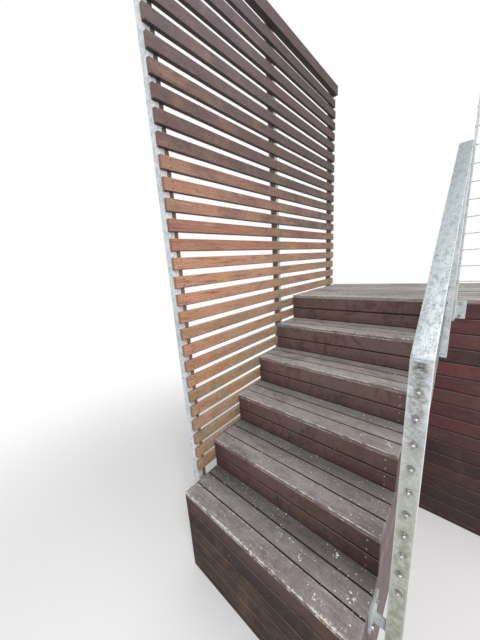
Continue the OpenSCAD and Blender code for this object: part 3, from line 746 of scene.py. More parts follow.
def post_stains(colour, place, axes):
    """Grime on the stair post: brown below its knee, green low down, dark round every nut."""
    middle_x, top_nut, pitch, count = nut_rows()
    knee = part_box("stair_post")[1].z
    aside = unsigned(minus(axes[0], middle_x))
    below = minus(knee, axes[2])
    under_knee = fade(below, 0.004, 0.012)
    blots = fade(noise(place, 90.0, 6.0, 0.78), 0.42, 0.58)
    torn = times(minus(noise(place, 55.0, 5.0, 0.72), 0.5), 0.034)
    frayed = plus(aside, torn)
    colour = lay(colour, (188, 189, 172), fade(below, 0.1, 0.5, 0.0, 0.7))
    crumbly = fade(noise(place, 210.0, 4.0, 0.75), 0.4, 0.58)
    mossy = times(fade(below, 0.2, 0.7), fade(aside, 0.026, 0.015),
                  fade(noise(place, 32.0, 6.0, 0.76), 0.42, 0.56, 0.15, 1.0))
    colour = lay(colour, (138, 141, 118), mossy, 0.7)
    brown = times(under_knee, fade(below, 0.5, 0.06), fade(frayed, 0.026, 0.01), larger(blots, 0.3))
    colour = lay(colour, (128, 120, 110), brown, 0.76)
    near = larger(crumbly, fade(below, 0.05, 0.012, 0.1, 0.45))
    lower = fade(plus(below, times(torn, 4.0)), 0.16, 0.0)
    heavy = times(under_knee, lower, fade(frayed, 0.02, 0.0), near)
    colour = lay(colour, (62, 52, 48), heavy, 0.9)
    rows = maths("DIVIDE", minus(top_nut, axes[2]), pitch)
    in_row = times(fade(rows, -0.4, -0.3), fade(rows, count - 0.3, count - 0.6))
    phase = maths("FRACT", plus(rows, 0.5))
    down = times(minus(phase, 0.5), pitch)
    reach = length_of(beside("ShaderNodeCombineXYZ", {0: aside, 1: down}).outputs[0])
    ring = times(fade(plus(reach, times(torn, 0.3)), 0.013, 0.008), larger(crumbly, 0.35), in_row)
    colour = lay(colour, (72, 68, 61), ring, 0.8)
    wobble = times(minus(noise(place, 70.0, 3.0), 0.5), 0.016)
    thin = fade(plus(aside, wobble), 0.006, 0.0015)
    long = fade(down, pitch * 0.42, 0.01)
    drip = times(thin, fade(down, 0.002, 0.008), long, in_row, larger(crumbly, 0.3))
    return lay(colour, (76, 71, 62), drip, 0.66)


def zinc_finish(name, cover, cloud_scale, shade, drawn=(1, 1, 1), far_shade=0.0,
                stained=False):
    """Galvanised steel, mottled and flecked, with grime where the piece carries nuts."""
    tree, shader = new_finish(name)
    tint = colours()
    place = own_place(tree)
    axes = parts(place)
    zinc = effect("hot_dip_zinc", make_zinc, Place=vectors("MULTIPLY", place, drawn),
                  Fleck_Cover=cover, Cloud_Scale=cloud_scale)
    colour = laid_over(tint.zinc_dull, tint.zinc_pale, zinc["Clouds"])
    colour = lay(colour, (142, 148, 144), shade)
    if far_shade:
        nearer = fade(axes[1], 0.16, 0.6, 0.0, far_shade)
        further = fade(axes[1], 0.55, 1.1, 0.0, far_shade * 0.6)
        colour = lay(colour, (140, 152, 154), plus(nearer, further))
    colour = lay(colour, (120, 134, 134), zinc["Flecks"], 0.66)
    colour = lay(colour, (92, 102, 102), zinc["Pits"], 0.7)
    if stained:
        colour = post_stains(colour, place, axes)
    colour = rough_faces(colour, place, 640.0, 0.1)
    # Painted highlight along the rounded edges.
    arrises = times(own_value(tree, "arris"), 0.6)
    colour = lay(colour, (236, 241, 243), arrises)
    rough = plus(fade(zinc["Clouds"], 0.0, 1.0, 0.62, 0.52), times(zinc["Flecks"], 0.2))
    relief = minus(times(zinc["Grit"], 0.5), zinc["Flecks"])
    dress(shader, colour, rough, relief, 0.0002, 0.4,
          metal=fade(zinc["Flecks"], 0.0, 1.0, 0.2, 0.0))


def bright_finish(name, base, rough, grime, clean=(214, 216, 216)):
    """Stainless nuts, wires, bolts and screw heads, dull with grime in their corners, with painted
    shade below.
    """
    tree, shader = new_finish(name)
    place = own_place(tree)
    cloud = noise(place, 150.0, 3.0, 0.6)
    colour = laid_over(base, paint(*clean), fade(cloud, 0.35, 0.7))
    specks = fade(noise(place, 420.0, 3.0, 0.7), 0.5, 0.75, 0.0, grime)
    colour = lay(colour, (84, 78, 68), specks)
    # Painted shade on the faces that point down.
    under = fade(own_parts(tree, "facing")[2], 0.15, -0.6, 0.0, 0.5)
    colour = lay(colour, (52, 50, 46), under)
    dress(shader, colour, fade(cloud, 0.2, 0.8, rough + 0.12, rough), noise(place, 700.0, 2.0),
          0.0001, 0.4, metal=fade(cloud, 0.0, 1.0, 0.75, 0.95))


def dark_hole_finish(name):
    """The dark rim of a hole that a wire passes: painted shade of the hole."""
    tree, shader = new_finish(name)
    speck = fade(noise(own_place(tree), 500.0, 3.0), 0.4, 0.7)
    colour = laid_over(paint(26, 26, 25), paint(70, 68, 62), speck)
    dress(shader, colour, fade(speck, 0.0, 1.0, 0.6, 0.85), speck, 0.0002)


def crumb_finish(name):
    """Dry leaf scraps, from straw to grey brown."""
    tree, shader = new_finish(name)
    tone = own_value(tree, "tone")
    colour = laid_over(paint(104, 94, 80), paint(200, 198, 190), fade(tone, 0.2, 0.9))
    veins = fade(noise(own_place(tree), 500.0, 3.0), 0.4, 0.65, 0.0, 0.4)
    colour = lay(colour, (86, 70, 54), veins)
    dress(shader, colour, fade(tone, 0.0, 1.0, 0.75, 0.95), veins, 0.0002)


def splash_finish(name):
    """Chalky dried droppings, greyer where they are thin."""
    tree, shader = new_finish(name)
    cloud = noise(own_place(tree), 240.0, 4.0, 0.7)
    colour = laid_over(paint(182, 180, 176), paint(242, 242, 240), fade(cloud, 0.3, 0.52))
    dress(shader, colour, fade(cloud, 0.2, 0.8, 0.95, 0.8), cloud, 0.0003)


def nut_rows():
    """Middle, top height, pitch and number of the nuts on the front of the stair post."""
    front = [box for box in solids("wire_nuts") if box[1].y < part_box("stair_post")[1].y]
    heights = sorted(((low.z + high.z) / 2 for low, high in front), reverse=True)
    middle = (front[0][0].x + front[0][1].x) / 2
    return middle, heights[0], heights[0] - heights[1], len(heights)


def finish(name):
    """The named material, made the first time it is asked for."""
    tint = colours()
    recipes = {
        "scuffed_tread": lambda: walked_finish(name, 0.0075, 1.9, 0.42, True, 1.0),
        "worn_tread": lambda: walked_finish(name, 0.0042, 1.2, 0.47, True, 0.42),
        "worn_landing": lambda: walked_finish(name, 0.0028, 0.9, 0.48, False, 0.3),
        "oiled_riser": lambda: closing_finish(
            name, 0, tint.closing_red, tint.closing_dark, gloss=0.6, dust=0.26, tone_span=0.6,
            arris_highlight=paint(154, 130, 118), arris_highlight_share=0.55, bleached=0.46, streaked=0.62,
            sheen=0.1),
        # The side takes a paler, lit copy of the riser timber: painted light.
        "lit_side": lambda: closing_finish(
            name, 1, tint.side_plum, paint(98, 80, 82), gloss=0.5, dust=0.35, tone_span=0.4,
            arris_highlight=paint(170, 152, 146), arris_highlight_share=0.6),
        "oiled_skirt": lambda: closing_finish(
            name, 0, tint.skirt_red, paint(54, 30, 33), gloss=0.42, dust=0.05, tone_span=1.0,
            arris_highlight=paint(150, 112, 108), arris_highlight_share=0.8, dark_foot_and_deck_shade=0.9, streaked=0.5),
        "oiled_batten": lambda: batten_finish(name),
        "dull_stud": lambda: batten_finish(name, 0.65),
        "sawn_x": lambda: sawn_finish(name, 0),
        "sawn_y": lambda: sawn_finish(name, 1),
        "sawn_z": lambda: sawn_finish(name, 2),
        "zinc_post": lambda: zinc_finish(name, 0.5, 70.0, 0.1, (1, 1, 0.8), stained=True),
        "zinc_rail": lambda: zinc_finish(name, 0.95, 78.0, 0.0, (1, 0.5, 0.5), 0.44),
        "zinc_screen": lambda: zinc_finish(name, 0.25, 40.0, 0.0),
        "zinc_plain": lambda: zinc_finish(name, 0.4, 60.0, 0.25),
        "stainless": lambda: bright_finish(name, paint(150, 151, 150), 0.26, 0.5),
        "screw_steel": lambda: bright_finish(name, paint(160, 158, 150), 0.42, 0.6),
        "rusty_screw": lambda: bright_finish(name, paint(44, 32, 29), 0.6, 0.5, (84, 62, 54)),
        "dull_screw": lambda: bright_finish(name, paint(100, 76, 62), 0.6, 0.4, (138, 108, 90)),
        "wire_hole": lambda: dark_hole_finish(name),
        "leaf_crumbs": lambda: crumb_finish(name),
        "dried_splash": lambda: splash_finish(name),
    }
    if name not in bpy.data.materials:
        recipes[name]()
    return bpy.data.materials[name]


# Meshes from the frame
def islands(bm):
    """Lists of the points of each separate solid."""
    waiting = set(bm.verts)
    while waiting:
        todo = [waiting.pop()]
        found = []
        while todo:
            point = todo.pop()
            found.append(point)
            for edge in point.link_edges:
                other = edge.other_vert(point)
                if other in waiting:
                    waiting.remove(other)
                    todo.append(other)
        yield found


def merged(node):
    """A merged copy of a node's mesh, with its flat faces whole again."""
    bm = bmesh.new()
    bm.from_mesh(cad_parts[node].data)
    bmesh.ops.remove_doubles(bm, verts=bm.verts[:], dist=1e-5)
    bmesh.ops.dissolve_limit(
        bm, angle_limit=math.radians(0.5), verts=bm.verts[:], edges=bm.edges[:])
    bmesh.ops.recalc_face_normals(bm, faces=bm.faces[:])
    return bm


def corners(points):
    low = Vector([min(point.co[i] for point in points) for i in range(3)])
    high = Vector([max(point.co[i] for point in points) for i in range(3)])
    return low, high


def solids(node):
    """Boxes of a node's separate solids, in order of their places."""
    bm = merged(node)
    boxes = [corners(points) for points in islands(bm)]
    bm.free()
    return sorted(boxes, key=lambda box: tuple(round(value, 4) for value in box[0]))


def spread(seed, index):
    """A steady random number between 0 and 1."""
    return math.modf(abs(math.sin(seed * 12.9898 + index * 78.233) * 43758.5453))[0]


def plain_mesh(obj):
    """Turn what the modifiers make into the object's own mesh, and take them off."""
    graph = bpy.context.evaluated_depsgraph_get()
    made = bpy.data.meshes.new_from_object(
        obj.evaluated_get(graph), preserve_all_data_layers=True, depsgraph=graph)
    if not made.polygons:
        raise RuntimeError(f"{obj.name} has no faces")
    obj.modifiers.clear()
    old = obj.data
    obj.data = made
    made.name = obj.name
    bpy.data.meshes.remove(old)


def note_facing(mesh):
    """Store the way each face points, for the finishes to read."""
    facing = mesh.attributes.new("facing", "FLOAT_VECTOR", "CORNER")
    for face in mesh.polygons:
        for corner in face.loop_indices:
            facing.data[corner].vector = face.normal


def ease_arrises(obj, arris, segments):
    """Round the sharp edges and store where they are."""
    obj.data.materials.append(obj.data.materials[0])
    bevel = obj.modifiers.new("arris", "BEVEL")
    bevel.width = arris
    bevel.segments = segments
    bevel.limit_method = "ANGLE"
    bevel.angle_limit = math.radians(30)
    bevel.material = 1
    plain_mesh(obj)
    mesh = obj.data
    rounded = mesh.attributes.new("arris", "FLOAT", "CORNER")
    for face in mesh.polygons:
        for corner in face.loop_indices:
            rounded.data[corner].value = 1.0 if face.material_index else 0.0
        face.material_index = 0
    mesh.materials.pop(index=1)
    note_facing(mesh)


def settle(obj, slot, *nodes):
    """Put a finished piece on the frame, in place of its nodes."""
    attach(obj, "root")
    if nodes:
        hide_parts(*nodes)
    return obj


def new_object(name, mesh):
    obj = bpy.data.objects.new(name, mesh)
    bpy.context.scene.collection.objects.link(obj)
    return obj


def slim_stud(low, high):
    """A screen stud's box as thin as it looks, kept against its steel post and the battens."""
    size = sizes()
    low, high = low.copy(), high.copy()
    low.x = high.x - size.stud_deep
    if low.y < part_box("screen_post_front")[1].y + 0.002:
        high.y = low.y + size.stud_thick
    else:
        low.y = high.y - size.stud_thick
    return low, high


def softened(name, node, finish_name, slot, arris, segments=2, seed=0, reshape=None):
    """A node's own shape with its edges eased and every solid given its tone and place."""
    bm = merged(node)
    place = bm.verts.layers.float_vector.new("place")
    extent = bm.verts.layers.float_vector.new("extent")
    tone = bm.verts.layers.float.new("tone")
    row = bm.verts.layers.float.new("row")
    in_order = sorted(islands(bm), key=lambda found: tuple(corners(found)[0]))
    for index, points in enumerate(in_order):
        low, high = corners(points)
        if reshape:
            middle = (low + high) / 2
            low, high = reshape(low, high)
            for point in points:
                point.co = [(low if point.co[i] < middle[i] else high)[i] for i in range(3)]
        size = high - low
        for point in points:
            point[place] = Vector([(point.co[i] - low[i]) / size[i] - 0.5 for i in range(3)])
            point[extent] = size
            point[tone] = spread(seed + 1, index)
            point[row] = index
    mesh = bpy.data.meshes.new(name)
    bm.to_mesh(mesh)
    bm.free()
    mesh.materials.append(finish(finish_name))
    obj = new_object(name, mesh)
    ease_arrises(obj, arris, segments)
    return settle(obj, slot, node)


def grown(name, group, marks, **given):
    """Run a Geometry Nodes tree on a mesh of marks, and keep the plain result."""
    obj = new_object(name, marks)
    modifier = obj.modifiers.new(group.name, "NODES")
    modifier.node_group = group
    labels = {item.name: item.identifier for item in group.interface.items_tree
              if item.in_out == "INPUT"}
    for label, value in given.items():
        modifier[labels[label.replace("_", " ")]] = value
    plain_mesh(obj)
    mesh = obj.data
    mesh.materials.clear()
    mesh.materials.append(given["Finish"])
    mesh.polygons.foreach_set("material_index", [0] * len(mesh.polygons))
    return obj


# Geometry Nodes trees
def part(tree, kind, feeds=None, **settings):
    """Add a Geometry Nodes node, and give back what it puts out first."""
    return add(tree, "GeometryNode" + kind, feeds, **settings).outputs[0]


def held_value(tree, name, data_type="FLOAT_VECTOR"):
    """A value that the mesh holds."""
    return part(tree, "InputNamedAttribute", {"Name": name}, data_type=data_type)


def stored(geometry, name, value, data_type, domain):
    """Let a shape hold a value."""
    node = beside("GeometryNodeStoreNamedAttribute", {"Geometry": geometry, "Name": name},
                  data_type=data_type, domain=domain)
    feed(node.inputs[3], value)
    return node.outputs[0]


def toned(instances, seed):
    """Give every instance its tone, a steady random number."""
    luck = beside("FunctionNodeRandomValue", {"Seed": seed}, data_type="FLOAT")
    return stored(instances, "tone", luck.outputs[1], "FLOAT", "INSTANCE")


def random_turn(seed, least=(0, 0, 0), most=(0, 0, math.tau)):
    """A turn by chance for each instance, between two limits."""
    luck = beside("FunctionNodeRandomValue", {0: least, 1: most, "Seed": seed},
                  data_type="FLOAT_VECTOR")
    return beside("FunctionNodeEulerToRotation", {0: luck.outputs[0]}).outputs[0]


def aimed(marks, shape):
    """A shape on every mark, turned the way that the mark holds."""
    way = held_value(marks.id_data, "aim")
    turn = beside("FunctionNodeAlignRotationToVector", {"Vector": way}, axis="Z").outputs[0]
    return part(marks.id_data, "InstanceOnPoints", {
        "Points": marks, "Instance": shape, "Rotation": turn})


def spun(instances, seed):
    """Turn every instance about its own axis by chance."""
    return part(instances.id_data, "RotateInstances", {
        "Instances": instances, "Rotation": random_turn(seed), "Local Space": True})


def joined(*shapes):
    node = add(shapes[0].id_data, "GeometryNodeJoinGeometry")
    for shape in shapes:
        feed(node.inputs[0], shape)
    return node.outputs[0]


def realized(instances):
    return part(instances.id_data, "RealizeInstances", {0: instances})


def put_out(given, result, geometry):
    """Give the shape its material, end the tree with it and give back the tree."""
    tree = geometry.id_data
    feed(result[0], part(tree, "SetMaterial", {"Geometry": geometry, "Material": given["Finish"]}))
    return tree


def make_board_tree(name):
    """Boards on marks: every mark holds its board's size."""
    tree, given, result = new_group(name, "GeometryNodeTree", {
        "Marks": "Geometry", "Loops X": 2, "Loops Y": 2, "Loops Z": 2, "Lean": 0.0007,
        "Warp": 0.0005, "Seed": 1, "Finish": "Material"}, ("Boards",))
    block = part(tree, "MeshCube", {
        "Size": (1, 1, 1), "Vertices X": given["Loops X"], "Vertices Y": given["Loops Y"],
        "Vertices Z": given["Loops Z"]})
    here = part(tree, "InputPosition")
    placed = stored(block, "place", here, "FLOAT_VECTOR", "POINT")
    laid = part(tree, "InstanceOnPoints", {
        "Points": given["Marks"], "Instance": placed, "Scale": held_value(tree, "extent")})
    lean = given["Lean"]
    most = beside("ShaderNodeCombineXYZ", {0: lean, 1: lean, 2: lean}).outputs[0]
    leant = part(tree, "RotateInstances", {
        "Instances": toned(laid, given["Seed"]), "Local Space": False,
        "Rotation": random_turn(given["Seed"], scaled(most, -1.0), most)})
    apart = scaled((19.0, 37.0, 53.0), held_value(tree, "tone", "FLOAT"))
    drift = nudge(vectors("ADD", here, apart), 3.0, 3.0)
    warped = part(tree, "SetPosition", {
        "Geometry": realized(leant), "Offset": scaled(drift, times(given["Warp"], 3.0))})
    return put_out(given, result, warped)


def make_screw_tree(name):
    """Screw heads on marks: every mark holds the way its screw points."""
    tree, given, result = new_group(name, "GeometryNodeTree", {
        "Marks": "Geometry", "Width": 0.0075, "Seed": 1, "Finish": "Material"}, ("Screws",))
    half = times(given["Width"], 0.5)
    rim = part(tree, "MeshCone", {
        "Vertices": 10, "Radius Top": times(half, 0.82), "Radius Bottom": half, "Depth": 0.0006})
    drive = part(tree, "MeshCone", {
        "Vertices": 4, "Radius Top": times(half, 0.3), "Radius Bottom": times(half, 0.42),
        "Depth": 0.0003})
    boss = part(tree, "Transform", {"Geometry": drive, "Translation": (0, 0, 0.0006)})
    set_in = aimed(given["Marks"], joined(rim, boss))
    return put_out(given, result, realized(spun(set_in, given["Seed"])))


def make_nut_tree(name):
    """Domed nuts on washers: every mark holds the way its nut points."""
    tree, given, result = new_group(name, "GeometryNodeTree", {
        "Marks": "Geometry", "Washer": 0.016, "Washer Thick": 0.0016, "Nut": 0.012,
        "Nut Height": 0.006, "Seed": 1, "Finish": "Material"}, ("Nuts",))

    def raised(kind, feeds, height):
        up = beside("ShaderNodeCombineXYZ", {2: height}).outputs[0]
        return part(tree, "Transform", {"Geometry": part(tree, kind, feeds), "Translation": up})

    thick, tall = given["Washer Thick"], given["Nut Height"]
    seat = raised("MeshCylinder", {
        "Vertices": 28, "Radius": times(given["Washer"], 0.5), "Depth": thick}, times(thick, 0.5))
    body = raised("MeshCylinder", {
        "Vertices": 6, "Radius": times(given["Nut"], 0.5), "Depth": tall},
        plus(thick, times(tall, 0.5)))
    dome = raised("MeshUVSphere", {
        "Segments": 18, "Rings": 10, "Radius": times(given["Nut"], 0.47)}, plus(thick, tall))
    fitted = aimed(given["Marks"], joined(seat, body, dome))
    return put_out(given, result, realized(spun(fitted, given["Seed"])))


def make_wire_tree(name):
    """A row of parallel stranded wires between two places."""
    tree, given, result = new_group(name, "GeometryNodeTree", {
        "Marks": "Geometry", "Start": (0, 0, 0), "End": (0, 1, 0), "Step": (0, 0, -0.08),
        "Count": 10, "Width": 0.004, "Lay": 0.045, "Rings": 120, "Finish": "Material"},
        ("Wires",))
    span = part(tree, "CurvePrimitiveLine", {"Start": given["Start"], "End": given["End"]})
    rings = part(tree, "ResampleCurve", {"Curve": span, "Count": given["Rings"]})
    far = add(tree, "GeometryNodeSplineParameter").outputs["Length"]
    turned = times(maths("DIVIDE", far, given["Lay"]), math.tau)
    laid = part(tree, "SetCurveTilt", {"Curve": rings, "Tilt": turned})
    half = times(given["Width"], 0.5)
    strands = part(tree, "CurveStar", {
        "Points": 6, "Inner Radius": times(half, 0.8), "Outer Radius": half})
    swept = part(tree, "CurveToMesh", {
        "Curve": laid, "Profile Curve": strands, "Fill Caps": True})
    row = part(tree, "MeshLine", {"Count": given["Count"], "Offset": given["Step"]})
    strung = part(tree, "InstanceOnPoints", {"Points": row, "Instance": swept})
    return put_out(given, result, realized(strung))


def make_weld_tree(name):
    """Lumpy weld beads along the marked seams."""
    tree, given, result = new_group(name, "GeometryNodeTree", {
        "Seams": "Geometry", "Radius": 0.0028, "Ripple": 0.005, "Finish": "Material"},
        ("Beads",))
    lines = part(tree, "MeshToCurve", {"Mesh": given["Seams"]})
    steps = part(tree, "ResampleCurve", {"Curve": lines, "Length": 0.0016}, mode="LENGTH")
    far = add(tree, "GeometryNodeSplineParameter").outputs["Length"]
    wave = maths("SINE", times(maths("DIVIDE", far, given["Ripple"]), math.tau))
    uneven = times(noise(part(tree, "InputPosition"), 90.0, 2.0), 0.5)
    ring = part(tree, "CurvePrimitiveCircle", {"Resolution": 9, "Radius": given["Radius"]})
    bead = part(tree, "CurveToMesh", {
        "Curve": steps, "Profile Curve": ring, "Fill Caps": True,
        "Scale": plus(times(wave, 0.12), plus(uneven, 0.72))})
    return put_out(given, result, realized(part(tree, "SetShadeSmooth", {"Geometry": bead})))


def make_eye_tree(name):
    """Dark rims that paint the shade of the holes that the wires pass: every mark holds the way its
    hole faces.
    """
    tree, given, result = new_group(name, "GeometryNodeTree", {
        "Marks": "Geometry", "Width": 0.009, "Finish": "Material"}, ("Rims",))
    ring = part(tree, "CurvePrimitiveCircle", {
        "Resolution": 16, "Radius": times(given["Width"], 0.36)})
    section = part(tree, "CurvePrimitiveCircle", {"Resolution": 6, "Radius": 0.0013})
    rim = part(tree, "CurveToMesh", {"Curve": ring, "Profile Curve": section})
    whole = realized(aimed(given["Marks"], rim))
    return put_out(given, result, part(tree, "SetShadeSmooth", {"Geometry": whole}))


def make_crumb_tree(name):
    """Dry crumbs of leaves scattered on the marked ground, each a small bent scrap."""
    tree, given, result = new_group(name, "GeometryNodeTree", {
        "Ground": "Geometry", "Density": 900.0, "Least": 0.002, "Most": 0.0065, "Seed": 1,
        "Finish": "Material"}, ("Crumbs",))
    seed = given["Seed"]
    dropped = part(tree, "DistributePointsOnFaces", {
        "Mesh": given["Ground"], "Density": given["Density"], "Seed": seed})
    scrap = part(tree, "MeshGrid", {"Size X": 1.0, "Size Y": 0.5, "Vertices X": 4, "Vertices Y": 3})
    x, y = parts(part(tree, "InputPosition"))[:2]
    narrow = times(y, minus(unsigned(x), 0.5))
    curl = plus(times(x, x, 0.5), 0.06)
    lift = beside("ShaderNodeCombineXYZ", {1: narrow, 2: curl}).outputs[0]
    bent = part(tree, "SetPosition", {"Geometry": scrap, "Offset": lift})
    width = beside("FunctionNodeRandomValue", {
        2: given["Least"], 3: given["Most"], "Seed": seed}, data_type="FLOAT").outputs[1]
    fallen = part(tree, "InstanceOnPoints", {
        "Points": dropped, "Instance": bent, "Scale": width,
        "Rotation": random_turn(seed, (-0.12, -0.12, 0), (0.12, 0.12, math.tau))})
    return put_out(given, result, realized(toned(fallen, seed)))


def make_splash_tree(name):
    """Dried splashes: every mark holds the width of its drop."""
    tree, given, result = new_group(name, "GeometryNodeTree", {
        "Marks": "Geometry", "Thick": 0.0008, "Seed": 1, "Finish": "Material"}, ("Splashes",))
    drop = part(tree, "MeshIcoSphere", {"Radius": 0.5, "Subdivisions": 3})
    width = held_value(tree, "width", "FLOAT")
    flat = beside("ShaderNodeCombineXYZ", {0: width, 1: times(width, 0.7), 2: given["Thick"]})
    fallen = part(tree, "InstanceOnPoints", {
        "Points": given["Marks"], "Instance": drop, "Scale": flat.outputs[0],
        "Rotation": random_turn(given["Seed"])})
    ragged = vectors("MULTIPLY", nudge(part(tree, "InputPosition"), 260.0), (0.009, 0.009, 0.0))
    spread_out = part(tree, "SetPosition", {"Geometry": realized(fallen), "Offset": ragged})
    return put_out(given, result, spread_out)


# Marks for the trees
def marked(name, places, **held):
    """A mesh of points that hold numbers or vectors under names."""
    mesh = bpy.data.meshes.new(name)
    mesh.from_pydata(places, [], [])
    for label, values in held.items():
        plain = isinstance(values[0], (int, float))
        kept = mesh.attributes.new(label, "FLOAT" if plain else "FLOAT_VECTOR", "POINT")
        for item, value in zip(kept.data, values):
            setattr(item, "value" if plain else "vector", value)
    return mesh


def board_marks(node):
    """One mark in the middle of each board of a node, with the board's size and row on it."""
    boxes = solids(node)
    return marked(node + "_marks", [(low + high) / 2 for low, high in boxes],
                  extent=[high - low for low, high in boxes], row=list(range(len(boxes))))


def aimed_marks(name, marks):
    """Marks for fixings, each a place and the way it faces."""
    return marked(name, [place for place, way in marks], aim=[way for place, way in marks])


def boards(name, node, finish_name, slot, loops, seed):
    """The boards of a node, each a little out of true, with eased edges."""
    size = sizes()
    obj = grown(name, once("boards_on_marks", make_board_tree), board_marks(node),
                Loops_X=loops[0], Loops_Y=loops[1], Loops_Z=loops[2], Lean=size.board_lean,
                Warp=size.board_warp, Seed=size.seed + seed, Finish=finish(finish_name))
    ease_arrises(obj, size.board_arris, 2)
    return settle(obj, slot, node)


def middle_of(node, axis):
    low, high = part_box(node)
    return (low[axis] + high[axis]) / 2


def middles(boxes, axis):
    """Where the middles of several boxes lie along one axis."""
    return [(low[axis] + high[axis]) / 2 for low, high in boxes]


def pointing(axis, by=1.0):
    """A vector along one axis."""
    return Vector([by if i == axis else 0.0 for i in range(3)])


def pair_marks(boxes, face, lines):
    """Two screws across each board on every line of framing behind it."""
    at, face_axis, face_side, pair_axis = face
    way = pointing(face_axis, 1.0 if face_side else -1.0)
    marks = []
    for low, high in boxes:
        for line in lines:
            if not low[at] + END_MARGIN < line < high[at] - END_MARGIN:
                continue
            for share in SCREW_SHARES:
                place = pointing(at, line)
                place[pair_axis] = low[pair_axis] + share * (high[pair_axis] - low[pair_axis])
                place[face_axis] = (high if face_side else low)[face_axis]
                drift = spread(place.x * 91 + place.z * 17, place.y * 53) - 0.5
                place[at] += SCREW_DRIFT * drift
                marks.append((place, way))
    return marks


def screws(name, marks, seed, finish_name="screw_steel"):
    size = sizes()
    obj = grown(name, once("screw_heads", make_screw_tree), aimed_marks(name + "_marks", marks),
                Width=size.screw_head, Seed=size.seed + seed, Finish=finish(finish_name))
    return settle(obj, "fixings")


def smoothed(obj):
    """Smooth shading, but for edges where the faces meet at a clear angle."""
    obj.data.shade_smooth()
    obj.data.set_sharp_from_angle(angle=SMOOTH_LIMIT)


# Pieces
class DECK_STAIRS_OT_stage(bpy.types.Operator):
    """Set up the pale floor, the soft lamps and the camera"""
    bl_idname = "deck_stairs.stage"
    bl_label = "Stage"

    def execute(self, context):
        values = context.scene.deck_stair_stage
        self.floor()
        self.world(values.room_light)
        self.lamp("key_lamp", (3.4, -2.6, 5.8), (0.2, 0.9, 0.7), 3.6, values.key_power)
        self.lamp("fill_lamp", (4.6, 1.2, 2.2), (0.4, 0.9, 0.8), 2.6, values.fill_power)
        self.camera(values)
        context.scene.view_settings.view_transform = "Standard"
        return {"FINISHED"}

    def floor(self):
        mesh = bpy.data.meshes.new("pale_floor")
        reach = 14.0
        mesh.from_pydata([(-reach, -reach, GROUND), (reach, -reach, GROUND),
                          (reach, reach, GROUND), (-reach, reach, GROUND)], [], [(0, 1, 2, 3)])
        tree, shader = new_finish("pale_floor")
        feed(shader.inputs["Base Color"], paint(250, 250, 250))
        shader.inputs["Roughness"].default_value = 0.9
        shader.inputs["Specular IOR Level"].default_value = 0.1
        white = add(tree, "ShaderNodeEmission", {0: (1, 1, 1), 1: 1.0})
        distance = length_of(vectors("MULTIPLY", own_place(tree), (1, 1, 0)))
        seen = add(tree, "ShaderNodeLightPath").outputs["Is Camera Ray"]
        both = beside("ShaderNodeMixShader", {
            0: times(fade(distance, 1.3, 3.6), seen), 1: shader.outputs[0], 2: white.outputs[0]})
        feed(tree.nodes["Material Output"].inputs[0], both.outputs[0])
        mesh.materials.append(bpy.data.materials["pale_floor"])
        new_object("pale_floor", mesh)

    def world(self, strength):
        world = bpy.data.worlds.new("soft_room")
        world.use_nodes = True
        bpy.context.scene.world = world
        tree = world.node_tree
        rays = add(tree, "ShaderNodeLightPath").outputs
        seen = larger(rays["Is Camera Ray"], rays["Is Transmission Ray"], rays["Is Glossy Ray"])
        background = tree.nodes["Background"]
        background.inputs[0].default_value = (1, 1, 1, 1)
        level = beside("ShaderNodeMapRange", {0: seen, 3: strength, 4: 1.0})
        feed(background.inputs[1], level.outputs[0])

    def lamp(self, name, place, target, size, power):
        data = bpy.data.lights.new(name, "AREA")
        data.shape = "DISK"
        data.size = size
        data.energy = power
        lamp = bpy.data.objects.new(name, data)
        lamp.location = place
        lamp.rotation_euler = (Vector(target) - Vector(place)).to_track_quat("-Z", "Y").to_euler()
        bpy.context.scene.collection.objects.link(lamp)

    def camera(self, values):
        data = bpy.data.cameras.new("camera")
        data.sensor_width = 36.0
        data.lens = values.camera_lens
        data.shift_x, data.shift_y = 0.0170, 0.00315
        data.clip_start = 0.02
        camera = bpy.data.objects.new("camera", data)
        camera.location = values.camera_place
        camera.rotation_euler = values.camera_turn
        bpy.context.scene.collection.objects.link(camera)
        bpy.context.scene.camera = camera


class DECK_STAIRS_OT_treads(bpy.types.Operator):
    """Lay the three boards of every tread"""
    bl_idname = "deck_stairs.treads"
    bl_label = "Treads"

    def execute(self, context):
        for index, node in enumerate(TREADS):
            name = "scuffed_tread" if index == 0 else "worn_tread"
            boards("boards_of_" + node, node, name, "walk_boards", BOARD_LOOPS, index)
        return {"FINISHED"}


class DECK_STAIRS_OT_risers(bpy.types.Operator):
    """Fix the boards of every riser and of the base below the flight"""
    bl_idname = "deck_stairs.risers"
    bl_label = "Risers"

    def execute(self, context):
        for index, node in enumerate(RISERS + ["base_boards"]):
            boards("boards_of_" + node, node, "oiled_riser", "closing_boards", BOARD_LOOPS,
                   20 + index)
        return {"FINISHED"}


class DECK_STAIRS_OT_landing(bpy.types.Operator):
    """Lay the boards of the landing"""
    bl_idname = "deck_stairs.landing"
    bl_label = "Landing boards"

    def execute(self, context):
        boards("boards_of_landing", "landing_boards", "worn_landing", "walk_boards",
               LANDING_LOOPS, 40)
        return {"FINISHED"}


class DECK_STAIRS_OT_sides(bpy.types.Operator):
    """Close the side of the flight and the front below the landing"""
    bl_idname = "deck_stairs.sides"
    bl_label = "Side and skirt"

    def execute(self, context):
        boards("boards_of_skirt", "skirt_boards", "oiled_skirt", "closing_boards", BOARD_LOOPS, 50)
        softened("boards_of_side", "side_boards", "lit_side", "closing_boards",
                 sizes().board_arris, seed=51)
        return {"FINISHED"}


